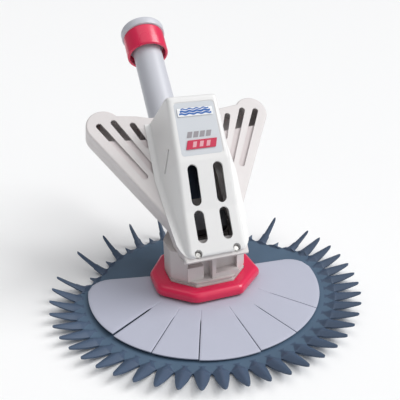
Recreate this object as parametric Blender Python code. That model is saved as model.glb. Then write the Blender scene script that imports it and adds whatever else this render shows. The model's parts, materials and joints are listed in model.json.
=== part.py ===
"""Suction pool cleaner: a slotted V body on an octagonal foot, a finned disc that turns under a
cut skirt, and an extension pipe at 45 degrees with a hand nut and a swivelling hose cuff.

Metres, +Z up, front towards -Y. Most pieces are modelled in one of two local frames: the disc frame
(vertical, centred on the suction throat) and the pipe frame, whose local Z runs up the pipe and whose
local -Y points out of the front of the body. Lengths up the pipe are called "along", and distances
from the pipe's axis towards the front are called "out".
"""

import math

import bmesh
import bpy
from mathutils import Vector

# ---------------------------------------------------------------- driving dimensions

GAP = 0.0003                    # between pieces that touch
LEAN = math.radians(45)         # the pipe's lean from upright
AXIS_HEIGHT = 0.022             # where the pipe's axis crosses the throat's axis

THROAT_RADIUS = 0.030           # suction throat bore
THROAT_WALL = 0.0095            # wall of the foot flange's tube
BEARING_GAP = 0.0004            # running clearance of the disc's bush
BUSH_WALL = 0.003

FOOT_PAD_OVERHANG = 0.0185      # how far the pad reaches past the flange's tube
FOOT_PAD_HEIGHT = 0.005
FOOT_GROOVE_DEPTH = 0.0025
FOOT_GROOVE_WIDTH = 0.007
FOOT_GROOVE_INSET = 0.006       # plain ring left round the throat
FOOT_GROOVES = 8
FLANGE_PLATE = 0.0016           # the flange plate under the disc
FLANGE_PLATE_INSET = 0.002
FLANGE_TOP_PLATE = 0.0028       # the flange plate over the disc
FLANGE_OVERHANG = 0.0095

DISC_TIP_RADIUS = 0.225         # fin tips at the front
DISC_TIP_HEIGHT = 0.0150
DISC_THICKNESS = 0.0024
DISC_HUB_MARGIN = 0.011         # the flat hub beyond the flange's top plate
DISC_CONE_RADIUS = 0.074        # the web is flat outside this
DISC_WEB_RADIUS = 0.150
DISC_SIDE_GAP = 0.0005          # running clearance above and below the turning hubs
LEAF_ROOT = 0.190               # bottom of the gaps between the leaves
SPIKE_ROOT = 0.158
ROOT_CHANGE = (60, 90)          # the roots move from one to the other between these, from the rear
RIDGE_START = 0.176             # nearest the hub that a fin's ridge starts
RIDGE_RUN = 0.004
RIDGE_HEIGHT = 0.0046
ROOT_RISE = 0.0014              # height of the web's edge over its flat part
SPIKE_FIRST, SPIKE_STEP = 6.5, 17.25    # degrees from the rear
SPIKES = 5                      # on each side, with a short thorn between each two
LEAVES = 16                     # on each side, the last one shared at the front
REAR_TIP_DRAW = 0.038           # the rear tips stand this much nearer the axis
REAR_DRAW_CHANGE = (25, 105)
REAR_TIP_RISE = 0.022           # and this much higher
REAR_RISE_CHANGE = (50, 110)
THORN_LENGTH = 0.011
THORN_RISE = 0.004
FIN_EDGES = {                   # half width as a share of the half pitch, share of the length
    "leaf": ((0.86, 0.05), (0.74, 0.28), (0.60, 0.47), (0.33, 0.80), (0.17, 0.95)),
    "spike": ((0.58, 0.10), (0.48, 0.34), (0.33, 0.42), (0.20, 0.82), (0.13, 0.95)),
    "thorn": ((0.34, 0.30), (0.14, 0.70)),
}

SKIRT_RADIUS = 0.170
SKIRT_THICKNESS = 0.0020
SKIRT_BORE_MARGIN = 0.010       # from the throat's bore to the skirt's
SKIRT_COLLAR_WALL = 0.003       # the collar that stands on the disc's hub
SKIRT_RIM_HEIGHT = 0.0066       # top of the rim
SKIRT_KNEE_RADIUS = 0.082       # flat inside this radius
SKIRT_HALF_ANGLE = math.radians(102)
SKIRT_TURN = math.radians(-8)    # where it stands: it turns with the disc
SKIRT_CORNER = 0.030            # rounding of the rear corners
SLIT_START = 0.104
SLIT_WIDTH = 0.0010
SLIT_ANGLES = (-54, -33, -13, 13, 33, 54)

HOUSING_HALF_WIDTH = 0.0553
HOUSING_FRONT = 0.0513
HOUSING_CHAMFER = 0.0285
HOUSING_SHOULDER = 0.012        # the plan narrows behind this
HOUSING_REAR = 0.046
HOUSING_REAR_TAPER = 0.018
HOUSING_TOP = 0.081
HOUSING_WALL = 0.003
SOCKET_START = 0.030            # the pipe's socket in the housing
SOCKET_END = 0.0960
SOCKET_WALL = 0.0039
LEDGE_BACK = 0.030
LEDGE_REACH = 0.0585            # front ledge that carries the cover's lower edge
LEDGE_HALF_WIDTH = 0.046
LEDGE_HEIGHT = 0.005
POCKET_HALF_WIDTH = 0.036
POCKET_BACK = 0.034
POCKET_LOW = 0.040
POCKET_HIGH = 0.0735
RIB_HALF_WIDTH = 0.0028
RIB_SETBACK = 0.004

STRAP_HEIGHT = 0.0155
STRAP_WIDTH = 0.0165
STRAP_SIDE_EXTRA = 0.0045       # the strap is wider at its side corners
STRAP_CLEARANCE = 0.0007
STRAP_LIFT = 0.0012             # above the housing's lower edge
STRAP_TOP_BEVEL = 0.35          # the bevel's share of the strap's width
STRAP_BEVEL_DROP = 0.006
STRAP_LOWER_BEVEL = 0.003

V_FRONT = 0.0875                # the V's front face, out from the pipe's axis
V_PARTING = 0.0705
V_BACK = 0.0500
V_WALL = 0.0025
V_NECK_WIDTH = 0.0495           # half width where the wings start
V_NECK_ALONG = 0.054
V_FOOT_WIDTH = 0.0455
V_FOOT_ALONG = 0.006
V_FOOT_END = -0.020
V_LOBE = (0.1125, 0.2120)       # centre of a wing's rounded end
V_LOBE_RADIUS = 0.0255
V_LOBE_END = math.radians(142)
V_TOP = 0.2190
V_TOP_EDGE = ((0.064, 0.224), (0.046, V_TOP))
SLOT_HALF_WIDTH = 0.0045
WING_SLOTS = (                  # from (across, along) to (across, along)
    ((0.1195, 0.2125), (0.0720, 0.1270)),
    ((0.0985, 0.2160), (0.0560, 0.1320)),
    ((0.0725, 0.2090), (0.0580, 0.1740)),
)
CHANNEL_WALL = 0.0028
CHANNEL_START = 0.0985
BRIDGE_START = 0.0400           # the neck's back, between the channel and the housing

CASSETTE_RADIUS = 0.0336
CASSETTE_WALL = 0.003
CASSETTE_START = 0.036
CASSETTE_SHOULDER = 0.172
CASSETTE_SLOPE = 0.008
DIAPHRAGM_RING_WIDTH = 0.0075
DIAPHRAGM_RING_LENGTH = 0.0047
DIAPHRAGM_FLANGE = 0.005
DIAPHRAGM_FLANGE_LENGTH = 0.003
DIAPHRAGM_CONE_LENGTH = 0.006
DIAPHRAGM_NECK = 0.020
DIAPHRAGM_WALL = 0.0025
CASSETTE_FIT = 0.0005

PIPE_RADIUS = 0.025
PIPE_WALL = 0.0028
PIPE_START = 0.196
PIPE_END = 0.414
PIPE_COLLAR_WALL = 0.0056       # the collar beyond the pipe's own skin
PIPE_COLLAR_LENGTH = 0.0065
PIPE_COLLAR_SLOPE = 0.003
PIPE_FIT = 0.0004
PIPE_SEAL_WALL = 0.0042
PIPE_SEAL_HEIGHT = 0.003
INNER_PIPE_WALL = 0.0023
INNER_PIPE_START = 0.170
INNER_PIPE_LENGTH = 0.130

NUT_WALL = 0.0046
NUT_OVERLAP = 0.019             # the nut starts this far below the pipe's end
NUT_LIP = 0.0116
NUT_THREAD_FIT = 0.0006
RING_THICKNESS = 0.0029
CUFF_FLANGE = 0.0055
CUFF_NECK_WALL = 0.0020
CUFF_OVERHANG = 0.0024          # the cuff's head beyond the nut
CUFF_HEAD = 0.0150
HOSE_FIT = 0.0002               # the hose's socket over the pipe's own radius
HOSE_SOCKET_DEPTH = 0.0215
WASHER_HEIGHT = 0.0019

COVER_WALL = 0.0025
COVER_STATIONS = (              # along, out, half width in front, half width at the V
    (0.0010, 0.0930, 0.0386, 0.0415),
    (0.0580, 0.1105, 0.0380, 0.0470),
    (0.1180, 0.1360, 0.0370, 0.0520),
    (0.2070, 0.1600, 0.0346, 0.0480),
)
COVER_SOLID_FOOT = 0.0130       # solid lower edge that the screws clamp
COVER_EDGE_ROUND = 0.006
COVER_SLOT_HALF_WIDTH = 0.0069
COVER_SLOT_ACROSS = 0.0177
COVER_SLOTS = ((0.0235, 0.0515), (0.0705, 0.1075))
COVER_SIDE_SLOT = ((0.030, 0.0110, 0.179), (0.060, 0.0145, 0.213))
COVER_SCREW = (0.027, 0.0044)
COVER_SCREW_HOLE = 0.0023
COVER_RECESS_RADIUS = 0.0053
OPENING_HALF_WIDTH = 0.030
OPENING_ALONG = (0.024, 0.200)

FLOAT_GAP = 0.0012
BODY_SCREWS = ((0.110, 0.2285), (0.055, 0.2070), (0.043, 0.0620))
BOSS_RADIUS = 0.0045
BOSS_HOLE_DEPTH = 0.031
BODY_SCREW_HOLE = 0.0019
NECK_SCREW = (0.036, -0.024)
NECK_SCREW_HOLE = 0.0022
NECK_BOSS_RADIUS = 0.005
NECK_BOSS_HEIGHT = 0.020
FLOAT_ALONG = (0.080, 0.190)
BALLAST_ALONG = (0.040, 0.064)
BALLAST_HALF_WIDTH = 0.028
PLATE_THICKNESS = 0.0008
TITLE_PLATE = ((-0.0245, 0.0605), (0.0245, 0.0605), (0.0245, 0.0715), (-0.0245, 0.0715))
BADGE_PLATE = ((-0.0215, 0.0155), (0.0195, 0.0155), (0.0235, 0.0275), (-0.0175, 0.0275))

ROUND = 40                      # sides of the larger round pieces

# ---------------------------------------------------------------- scene and small tools

for old in list(bpy.data.objects):
    bpy.data.objects.remove(old, do_unlink=True)


def material(name, colour, roughness, metallic=0.0):
    made = bpy.data.materials.new(name)
    made.use_nodes = True
    shader = made.node_tree.nodes["Principled BSDF"]
    shader.inputs["Base Color"].default_value = (*colour, 1.0)
    shader.inputs["Roughness"].default_value = roughness
    shader.inputs["Metallic"].default_value = metallic
    return made


SHELL = material("pearl_shell_plastic", (0.72, 0.70, 0.68), 0.42)
COVER = material("white_cover_plastic", (0.86, 0.85, 0.83), 0.32)
BASE = material("warm_grey_plastic", (0.50, 0.47, 0.45), 0.48)
PIPE = material("light_grey_pipe_plastic", (0.70, 0.71, 0.74), 0.38)
CRIMSON = material("crimson_plastic", (0.62, 0.02, 0.08), 0.34)
SLATE = material("slate_blue_rubber", (0.10, 0.15, 0.21), 0.55)
LAVENDER = material("pale_lavender_flexible_plastic", (0.56, 0.57, 0.66), 0.55)
CASSETTE = material("blue_grey_plastic", (0.16, 0.19, 0.26), 0.35)
RUBBER = material("black_rubber", (0.03, 0.03, 0.035), 0.7)
FLOAT = material("pale_foam", (0.78, 0.74, 0.74), 0.7)
IRON = material("coated_iron", (0.12, 0.12, 0.13), 0.6, 0.6)
STEEL = material("stainless_steel", (0.6, 0.6, 0.6), 0.3, 1.0)
PLATE = material("printed_plate", (0.80, 0.84, 0.90), 0.35)


def frame_empty(name, location=(0, 0, 0), tilt=0.0, parent=None):
    empty = bpy.data.objects.new(name, None)
    bpy.context.scene.collection.objects.link(empty)
    empty.location = location
    empty.rotation_euler = (tilt, 0, 0)
    empty.parent = parent
    return empty


def piece(name, bm, parent, look=None, smooth=30):
    """A mesh object from a bmesh; with no look it is a cutter or a guide, which the build leaves out."""
    mesh = bpy.data.meshes.new(name)
    bm.to_mesh(mesh)
    bm.free()
    made = bpy.data.objects.new(name, mesh)
    bpy.context.scene.collection.objects.link(made)
    made.parent = parent
    if look is None:
        made.hide_render = True
        made.display_type = "WIRE"
    else:
        mesh.materials.append(look)
        mesh.shade_smooth()
        mesh.set_sharp_from_angle(angle=math.radians(smooth))
    return made


def boolean(target, other, operation="DIFFERENCE"):
    step = target.modifiers.new(operation.lower(), "BOOLEAN")
    step.operation = operation
    step.solver = "EXACT"
    step.object = other
    return target


def turned_mesh(profile, sides=ROUND):
    """A closed (radius, height) profile spun round local Z."""
    bm = bmesh.new()
    verts = [bm.verts.new((radius, 0, height)) for radius, height in profile]
    edges = [bm.edges.new((a, b)) for a, b in zip(verts, verts[1:] + verts[:1])]
    bmesh.ops.spin(bm, geom=verts + edges, axis=(0, 0, 1), cent=(0, 0, 0), angle=2 * math.pi,
                   steps=sides, use_merge=True)
    bmesh.ops.remove_doubles(bm, verts=bm.verts[:], dist=1e-6)
    bmesh.ops.recalc_face_normals(bm, faces=bm.faces[:])
    return bm


def turned(name, profile, parent, look=None, sides=ROUND):
    return piece(name, turned_mesh(profile, sides), parent, look)


def rod(name, radius, low, high, parent, look=None, sides=ROUND, at=(0, 0)):
    """A solid cylinder along local Z."""
    bm = bmesh.new()
    bmesh.ops.create_cone(bm, cap_ends=True, segments=sides, radius1=radius, radius2=radius,
                          depth=high - low)
    bmesh.ops.translate(bm, verts=bm.verts[:], vec=(at[0], at[1], (low + high) / 2))
    return piece(name, bm, parent, look)


def prism_mesh(outline, start, end, place):
    """An outline in a plane, extruded from start to end; place(a, b, depth) gives the local point."""
    bm = bmesh.new()
    face = bm.faces.new([bm.verts.new(place(a, b, start)) for a, b in outline])
    step = Vector(place(*outline[0], end)) - Vector(place(*outline[0], start))
    made = bmesh.ops.extrude_face_region(bm, geom=[face])
    moved = [item for item in made["geom"] if isinstance(item, bmesh.types.BMVert)]
    bmesh.ops.translate(bm, verts=moved, vec=step)
    bmesh.ops.recalc_face_normals(bm, faces=bm.faces[:])
    return bm


def upright(a, b, depth):
    """Outline in plan, extruded up."""
    return (a, b, depth)


def outward(a, b, depth):
    """Outline across and along the pipe, extruded out of the front."""
    return (a, -depth, b)


def up_pipe(a, b, depth):
    """Outline across and out, extruded along the pipe."""
    return (a, -b, depth)


def prism(name, outline, start, end, place, parent, look=None):
    return piece(name, prism_mesh(outline, start, end, place), parent, look)


def box(name, low, high, parent, look=None):
    outline = ((low[0], low[1]), (high[0], low[1]), (high[0], high[1]), (low[0], high[1]))
    return prism(name, outline, low[2], high[2], upright, parent, look)


def arc(centre, radius, start, end, steps):
    turn = [start + (end - start) * k / steps for k in range(steps + 1)]
    return [(centre[0] + radius * math.cos(a), centre[1] + radius * math.sin(a)) for a in turn]


def stadium(start, end, radius, steps=6):
    """A slot's outline between the centres of its two round ends."""
    heading = math.atan2(end[1] - start[1], end[0] - start[0])
    right_angle = math.pi / 2
    return (arc(end, radius, heading - right_angle, heading + right_angle, steps)
            + arc(start, radius, heading + right_angle, heading + 3 * right_angle, steps))


def inset(outline, distance):
    """The outline moved inwards by a distance, with mitred corners; it runs anticlockwise."""
    moved = []
    count = len(outline)
    for k in range(count):
        before = Vector(outline[k]) - Vector(outline[k - 1])
        after = Vector(outline[(k + 1) % count]) - Vector(outline[k])
        first = Vector((-before.y, before.x)).normalized()
        second = Vector((-after.y, after.x)).normalized()
        bisector = (first + second).normalized()
        reach = distance / max(bisector.dot(first), 0.2)
        moved.append(tuple(Vector(outline[k]) + bisector * reach))
    return moved


def hole_outline(centre, radius):
    return arc(centre, radius, 0, math.tau, 12)[:-1]


def smoothstep(low, high, value):
    share = min(1.0, max(0.0, (value - low) / (high - low)))
    return share * share * (3 - 2 * share)


# ---------------------------------------------------------------- derived places

BEARING_RADIUS = THROAT_RADIUS + THROAT_WALL
BUSH_BORE = BEARING_RADIUS + BEARING_GAP
BUSH_RADIUS = BUSH_BORE + BUSH_WALL
FOOT_PAD_RADIUS = BEARING_RADIUS + FOOT_PAD_OVERHANG
FLANGE_TOP_RADIUS = BEARING_RADIUS + FLANGE_OVERHANG
DISC_HUB_RADIUS = FLANGE_TOP_RADIUS + DISC_HUB_MARGIN
SKIRT_BORE = THROAT_RADIUS + SKIRT_BORE_MARGIN
SKIRT_COLLAR_BORE = FLANGE_TOP_RADIUS + BEARING_GAP
FOOT_PLATE_LOW = FOOT_PAD_HEIGHT + GAP
FOOT_PLATE_HIGH = FOOT_PLATE_LOW + FLANGE_PLATE
HUB_LOW = FOOT_PLATE_HIGH + DISC_SIDE_GAP
HUB_HIGH = HUB_LOW + DISC_THICKNESS
TOP_PLATE_LOW = HUB_HIGH + DISC_SIDE_GAP
TOP_PLATE_HIGH = TOP_PLATE_LOW + FLANGE_TOP_PLATE
SKIRT_LOW = TOP_PLATE_HIGH + DISC_SIDE_GAP
SKIRT_HIGH = SKIRT_LOW + SKIRT_THICKNESS
HOUSING_LOW = SKIRT_HIGH + DISC_SIDE_GAP
STRAP_LOW = HOUSING_LOW + STRAP_LIFT
STRAP_HIGH = STRAP_LOW + STRAP_HEIGHT
CHANNEL_RADIUS = CASSETTE_RADIUS + CASSETTE_FIT + SOCKET_WALL
PIPE_BORE = PIPE_RADIUS - PIPE_WALL
PIPE_COLLAR_RADIUS = PIPE_RADIUS + PIPE_COLLAR_WALL
NUT_THREAD_RADIUS = PIPE_COLLAR_RADIUS + NUT_THREAD_FIT
NUT_RADIUS = NUT_THREAD_RADIUS + NUT_WALL
CUFF_RADIUS = NUT_RADIUS + CUFF_OVERHANG
HOSE_SOCKET_RADIUS = PIPE_RADIUS + HOSE_FIT
NUT_START = PIPE_END - NUT_OVERLAP
RING_START = PIPE_END + GAP
CUFF_START = RING_START + RING_THICKNESS + GAP
CUFF_FLANGE_END = CUFF_START + CUFF_FLANGE
NUT_LIP_START = CUFF_FLANGE_END + GAP
NUT_END = NUT_LIP_START + NUT_LIP
CUFF_HEAD_START = NUT_END + GAP
CUFF_END = CUFF_HEAD_START + CUFF_HEAD
CUFF_NECK_RADIUS = HOSE_SOCKET_RADIUS + CUFF_NECK_WALL
V_FLOOR = HOUSING_TOP + GAP
CUFF_BACK = (CUFF_END + CUFF_RADIUS) * math.sin(LEAN)
FOOTPRINT_SHIFT = (CUFF_BACK - DISC_TIP_RADIUS) / 2

DISC_AXIS = frame_empty("disc_axis", (0, -FOOTPRINT_SHIFT, 0))
PIPE_AXIS = frame_empty("pipe_axis", (0, 0, AXIS_HEIGHT), -LEAN, DISC_AXIS)

# ---------------------------------------------------------------- foot and disc


def make_foot_pad():
    pad = turned("foot_pad", [(THROAT_RADIUS, 0), (FOOT_PAD_RADIUS, 0),
                              (FOOT_PAD_RADIUS, FOOT_PAD_HEIGHT), (THROAT_RADIUS, FOOT_PAD_HEIGHT)],
                 DISC_AXIS, RUBBER)
    for k in range(FOOT_GROOVES):
        groove = box(f"foot_groove_{k}",
                     (THROAT_RADIUS + FOOT_GROOVE_INSET, -FOOT_GROOVE_WIDTH / 2, -0.002),
                     (FOOT_PAD_RADIUS + 0.005, FOOT_GROOVE_WIDTH / 2, FOOT_GROOVE_DEPTH), DISC_AXIS)
        groove.rotation_euler = (0, 0, 2 * math.pi * (k + 0.5) / FOOT_GROOVES)
        boolean(pad, groove)


def make_foot_flange():
    plate_radius = FOOT_PAD_RADIUS - FLANGE_PLATE_INSET
    turned("foot_flange", [
        (THROAT_RADIUS, FOOT_PLATE_LOW), (plate_radius, FOOT_PLATE_LOW),
        (plate_radius, FOOT_PLATE_HIGH), (BEARING_RADIUS, FOOT_PLATE_HIGH),
        (BEARING_RADIUS, TOP_PLATE_LOW), (FLANGE_TOP_RADIUS, TOP_PLATE_LOW),
        (FLANGE_TOP_RADIUS, TOP_PLATE_HIGH), (THROAT_RADIUS, TOP_PLATE_HIGH)], DISC_AXIS, BASE)


def fin_layout():
    """Every fin as (degrees from the rear, kind), once round: thorns and spikes behind, leaves in front."""
    spikes = [SPIKE_FIRST + SPIKE_STEP * k for k in range(SPIKES)]
    leaf_step = (180 - spikes[-1]) / LEAVES
    side = [(angle, "spike") for angle in spikes]
    side += [((a + b) / 2, "thorn") for a, b in zip(spikes, spikes[1:])]
    side += [(spikes[-1] + leaf_step * k, "leaf") for k in range(1, LEAVES)]
    other = [(-angle, kind) for angle, kind in side]
    return sorted(side + other + [(0, "thorn"), (180, "leaf")])


def root_radius(degrees):
    return SPIKE_ROOT + (LEAF_ROOT - SPIKE_ROOT) * smoothstep(*ROOT_CHANGE, abs(degrees))


def fin_tip(degrees, kind):
    """Radius and height of a fin's tip: the rear ones are drawn in and stand up."""
    if kind == "thorn":
        return root_radius(degrees) + THORN_LENGTH, DISC_THICKNESS + ROOT_RISE + THORN_RISE
    draw = REAR_TIP_DRAW * (1 - smoothstep(*REAR_DRAW_CHANGE, abs(degrees)))
    rise = REAR_TIP_RISE * (1 - smoothstep(*REAR_RISE_CHANGE, abs(degrees)))
    return DISC_TIP_RADIUS - draw, DISC_TIP_HEIGHT + rise


def fin_points(low, middle, high, kind):
    """Rows of one fin and its share of the web, each its two edges and its ridge; degrees from the rear."""
    web = ((BUSH_RADIUS + GAP, HUB_HIGH), (DISC_HUB_RADIUS, HUB_HIGH), (DISC_CONE_RADIUS, DISC_THICKNESS),
           (DISC_WEB_RADIUS, DISC_THICKNESS))
    rows = [[(radius, angle, height) for angle in (low, middle, high)] for radius, height in web]
    rows.append([(min(RIDGE_START, root_radius(angle) - RIDGE_RUN), angle, DISC_THICKNESS)
                 for angle in (low, middle, high)])
    root_height = DISC_THICKNESS + ROOT_RISE
    ridge = RIDGE_HEIGHT if kind == "leaf" else RIDGE_HEIGHT / 2
    rows.append([(root_radius(angle), angle, root_height + (ridge if angle == middle else 0))
                 for angle in (low, middle, high)])
    root = root_radius(middle)
    tip_radius, tip_height = fin_tip(middle, kind)
    for width, share in (*FIN_EDGES[kind], (0.0, 1.0)):
        radius = root + (tip_radius - root) * share
        height = root_height + (tip_height - root_height) * share ** 1.2
        crest = height + ridge * (1 - share)
        rows.append([(radius, middle + (low - middle) * width, height), (radius, middle, crest),
                     (radius, middle + (high - middle) * width, height)])
    return rows


def make_finned_disc():
    bm = bmesh.new()
    fins = fin_layout()
    for k, (middle, kind) in enumerate(fins):
        low = (fins[k - 1][0] - (360 if k == 0 else 0) + middle) / 2
        high = (fins[(k + 1) % len(fins)][0] + (360 if k == len(fins) - 1 else 0) + middle) / 2
        grid = []
        for row in fin_points(low, middle, high, kind):
            turns = [(radius, math.pi / 2 + math.radians(angle), height) for radius, angle, height in row]
            grid.append([bm.verts.new((radius * math.cos(turn), radius * math.sin(turn), height))
                         for radius, turn, height in turns])
        for inner, outer in zip(grid, grid[1:]):
            for a in (0, 1):
                bm.faces.new((inner[a], outer[a], outer[a + 1], inner[a + 1]))
    bmesh.ops.remove_doubles(bm, verts=bm.verts[:], dist=1e-6)
    bmesh.ops.recalc_face_normals(bm, faces=bm.faces[:])
    if sum(face.normal.z for face in bm.faces) < 0:
        bmesh.ops.reverse_faces(bm, faces=bm.faces[:])
    below = bmesh.ops.duplicate(bm, geom=bm.faces[:])
    faces = [item for item in below["geom"] if isinstance(item, bmesh.types.BMFace)]
    verts = [item for item in below["geom"] if isinstance(item, bmesh.types.BMVert)]
    bmesh.ops.reverse_faces(bm, faces=faces)
    bmesh.ops.translate(bm, verts=verts, vec=(0, 0, -DISC_THICKNESS))
    rims = [edge for edge in bm.edges if edge.is_boundary]
    inner_rims = [edge for edge in rims if edge.verts[0].co.xy.length < DISC_HUB_RADIUS]
    outer_rims = [edge for edge in rims if edge.verts[0].co.xy.length > DISC_HUB_RADIUS]
    for loops in (inner_rims, outer_rims):
        bmesh.ops.bridge_loops(bm, edges=loops)
    bmesh.ops.recalc_face_normals(bm, faces=bm.faces[:])
    piece("finned_disc", bm, DISC_AXIS, SLATE, smooth=15)


def make_disc_bush():
    turned("disc_bush", [(BUSH_BORE, HUB_LOW), (BUSH_RADIUS, HUB_LOW), (BUSH_RADIUS, HUB_HIGH),
                         (BUSH_BORE, HUB_HIGH)], DISC_AXIS, BASE)


def make_skirt():
    """A cut cone over the front of the disc; its collar stands on the disc's hub and turns with it."""
    bm = bmesh.new()
    columns = 40
    corner = SKIRT_CORNER
    rows = [(SKIRT_BORE + 0.002, SKIRT_HIGH, SKIRT_HALF_ANGLE),
            (SKIRT_KNEE_RADIUS, SKIRT_HIGH, SKIRT_HALF_ANGLE)]
    fall = (SKIRT_HIGH - SKIRT_RIM_HEIGHT) / (SKIRT_RADIUS - SKIRT_KNEE_RADIUS)
    for step in range(5):
        turn = step / 4 * math.pi / 2
        radius = SKIRT_RADIUS - corner * (1 - math.sin(turn))
        back = corner * (1 - math.cos(turn)) / radius
        rows.append((radius, SKIRT_HIGH - fall * (radius - SKIRT_KNEE_RADIUS), SKIRT_HALF_ANGLE - back))
    grid = []
    for radius, height, half in rows:
        angles = [-math.pi / 2 + SKIRT_TURN + half * (2 * k / columns - 1) for k in range(columns + 1)]
        grid.append([bm.verts.new((radius * math.cos(a), radius * math.sin(a), height)) for a in angles])
    for inner, outer in zip(grid, grid[1:]):
        for k in range(columns):
            bm.faces.new((inner[k], outer[k], outer[k + 1], inner[k + 1]))
    made = bmesh.ops.extrude_face_region(bm, geom=bm.faces[:])
    moved = [item for item in made["geom"] if isinstance(item, bmesh.types.BMVert)]
    bmesh.ops.translate(bm, verts=moved, vec=(0, 0, -SKIRT_THICKNESS))
    bmesh.ops.recalc_face_normals(bm, faces=bm.faces[:])
    skirt = piece("skirt", bm, DISC_AXIS, LAVENDER)
    collar = SKIRT_COLLAR_BORE + SKIRT_COLLAR_WALL
    hub = turned("skirt_hub", [
        (SKIRT_BORE, SKIRT_LOW), (SKIRT_COLLAR_BORE, SKIRT_LOW), (SKIRT_COLLAR_BORE, HUB_HIGH + GAP),
        (collar, HUB_HIGH + GAP), (collar, SKIRT_HIGH), (SKIRT_BORE, SKIRT_HIGH)], DISC_AXIS)
    boolean(skirt, hub, "UNION")
    for angle in SLIT_ANGLES:
        slit = box(f"skirt_slit_{angle}", (-SLIT_WIDTH / 2, -SKIRT_RADIUS - 0.01, -0.01),
                   (SLIT_WIDTH / 2, -SLIT_START, 0.05), DISC_AXIS)
        slit.rotation_euler = (0, 0, SKIRT_TURN + math.radians(angle))
        boolean(skirt, slit)


# ---------------------------------------------------------------- octagonal housing and bumper strap


def housing_outline():
    """Plan of the housing, anticlockwise from the front left; the back narrows towards the pipe socket."""
    half = [(HOUSING_HALF_WIDTH - HOUSING_CHAMFER, -HOUSING_FRONT),
            (HOUSING_HALF_WIDTH, -HOUSING_FRONT + HOUSING_CHAMFER),
            (HOUSING_HALF_WIDTH, HOUSING_SHOULDER),
            (HOUSING_HALF_WIDTH - HOUSING_REAR_TAPER, HOUSING_REAR)]
    return half + [(-x, y) for x, y in reversed(half)]


def make_lower_housing():
    outline = housing_outline()
    housing = prism("lower_housing", outline, HOUSING_LOW, HOUSING_TOP, upright, DISC_AXIS, BASE)
    ledge = box("housing_ledge", (-LEDGE_HALF_WIDTH, -LEDGE_REACH, HOUSING_TOP - LEDGE_HEIGHT),
                (LEDGE_HALF_WIDTH, -LEDGE_BACK, HOUSING_TOP), DISC_AXIS)
    boolean(housing, ledge, "UNION")
    socket = rod("housing_socket", CHANNEL_RADIUS, SOCKET_START, SOCKET_END, PIPE_AXIS)
    boolean(housing, socket, "UNION")
    chamber = prism("housing_chamber", inset(outline, HOUSING_WALL), HOUSING_LOW - 0.005,
                    HOUSING_TOP - HOUSING_WALL, upright, DISC_AXIS)
    pocket_front = -HOUSING_FRONT - 0.020
    pocket_side = POCKET_HALF_WIDTH + HOUSING_WALL
    pocket_wall = box("pocket_wall", (-pocket_side, pocket_front, POCKET_LOW - HOUSING_WALL),
                      (pocket_side, -POCKET_BACK + HOUSING_WALL, POCKET_HIGH + HOUSING_WALL), DISC_AXIS)
    boolean(chamber, pocket_wall)
    boolean(housing, chamber)
    bore = rod("housing_bore", CASSETTE_RADIUS + CASSETTE_FIT, SOCKET_START - 0.002, SOCKET_END + 0.01,
               PIPE_AXIS)
    boolean(housing, bore)
    pocket = box("pocket", (-POCKET_HALF_WIDTH, pocket_front, POCKET_LOW),
                 (POCKET_HALF_WIDTH, -POCKET_BACK, POCKET_HIGH), DISC_AXIS)
    rib = box("pocket_rib", (-RIB_HALF_WIDTH, -HOUSING_FRONT + RIB_SETBACK, POCKET_LOW - 0.001),
              (RIB_HALF_WIDTH, -POCKET_BACK + 0.001, POCKET_HIGH + 0.001), DISC_AXIS)
    boolean(pocket, rib)
    boolean(housing, pocket)
    for side in (-1, 1):
        place = (side * NECK_SCREW[0], NECK_SCREW[1])
        boss = rod(f"neck_boss_{side}", NECK_BOSS_RADIUS, HOUSING_TOP - NECK_BOSS_HEIGHT,
                   HOUSING_TOP - HOUSING_WALL / 2, DISC_AXIS, sides=16, at=place)
        boolean(housing, boss, "UNION")
        hole = rod(f"neck_hole_{side}", NECK_SCREW_HOLE, HOUSING_TOP - NECK_BOSS_HEIGHT - 0.002,
                   HOUSING_TOP + 0.002, DISC_AXIS, sides=16, at=place)
        boolean(housing, hole)
        cover_hole = hole_outline((side * COVER_SCREW[0], COVER_SCREW[1]), COVER_SCREW_HOLE)
        boolean(housing, prism(f"ledge_hole_{side}", cover_hole, V_FRONT - 0.020, V_FRONT + 0.01, outward,
                               PIPE_AXIS))


def make_bumper_strap():
    """A C-shaped crimson strap round the housing, with a bevelled top and wider side corners."""
    inner = [Vector(p) for p in inset(housing_outline(), -STRAP_CLEARANCE)]
    count = len(inner)
    order = [Vector(inner[(k + count // 2) % count]) for k in range(count)]
    outer = [Vector(p) for p in inset(housing_outline(), -STRAP_CLEARANCE - STRAP_WIDTH)]
    wide = [Vector(outer[(k + count // 2) % count]) for k in range(count)]
    for k, corner in enumerate(wide):
        if abs(corner.x) > HOUSING_HALF_WIDTH:
            corner.x += math.copysign(STRAP_SIDE_EXTRA, corner.x)
    bm = bmesh.new()
    sections = []
    for near, far in zip(order, wide):
        section = [(near, STRAP_LOW), (near.lerp(far, 0.94), STRAP_LOW),
                   (far, STRAP_LOW + STRAP_LOWER_BEVEL), (far, STRAP_HIGH - STRAP_BEVEL_DROP),
                   (near.lerp(far, 1 - STRAP_TOP_BEVEL), STRAP_HIGH), (near, STRAP_HIGH)]
        sections.append([bm.verts.new((p.x, p.y, z)) for p, z in section])
    for first, second in zip(sections, sections[1:]):
        for k in range(len(first)):
            nxt = (k + 1) % len(first)
            bm.faces.new((first[k], first[nxt], second[nxt], second[k]))
    bm.faces.new(sections[0])
    bm.faces.new(sections[-1])
    bmesh.ops.recalc_face_normals(bm, faces=bm.faces[:])
    piece("bumper_strap", bm, DISC_AXIS, CRIMSON)


# ---------------------------------------------------------------- V body


def wing_edge_angle():
    """Heading of a wing's straight outer edge, which touches the round of the wing's end."""
    towards = Vector(V_LOBE) - Vector((V_NECK_WIDTH, V_NECK_ALONG))
    return math.atan2(towards.y, towards.x) - math.asin(V_LOBE_RADIUS / towards.length)


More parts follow.
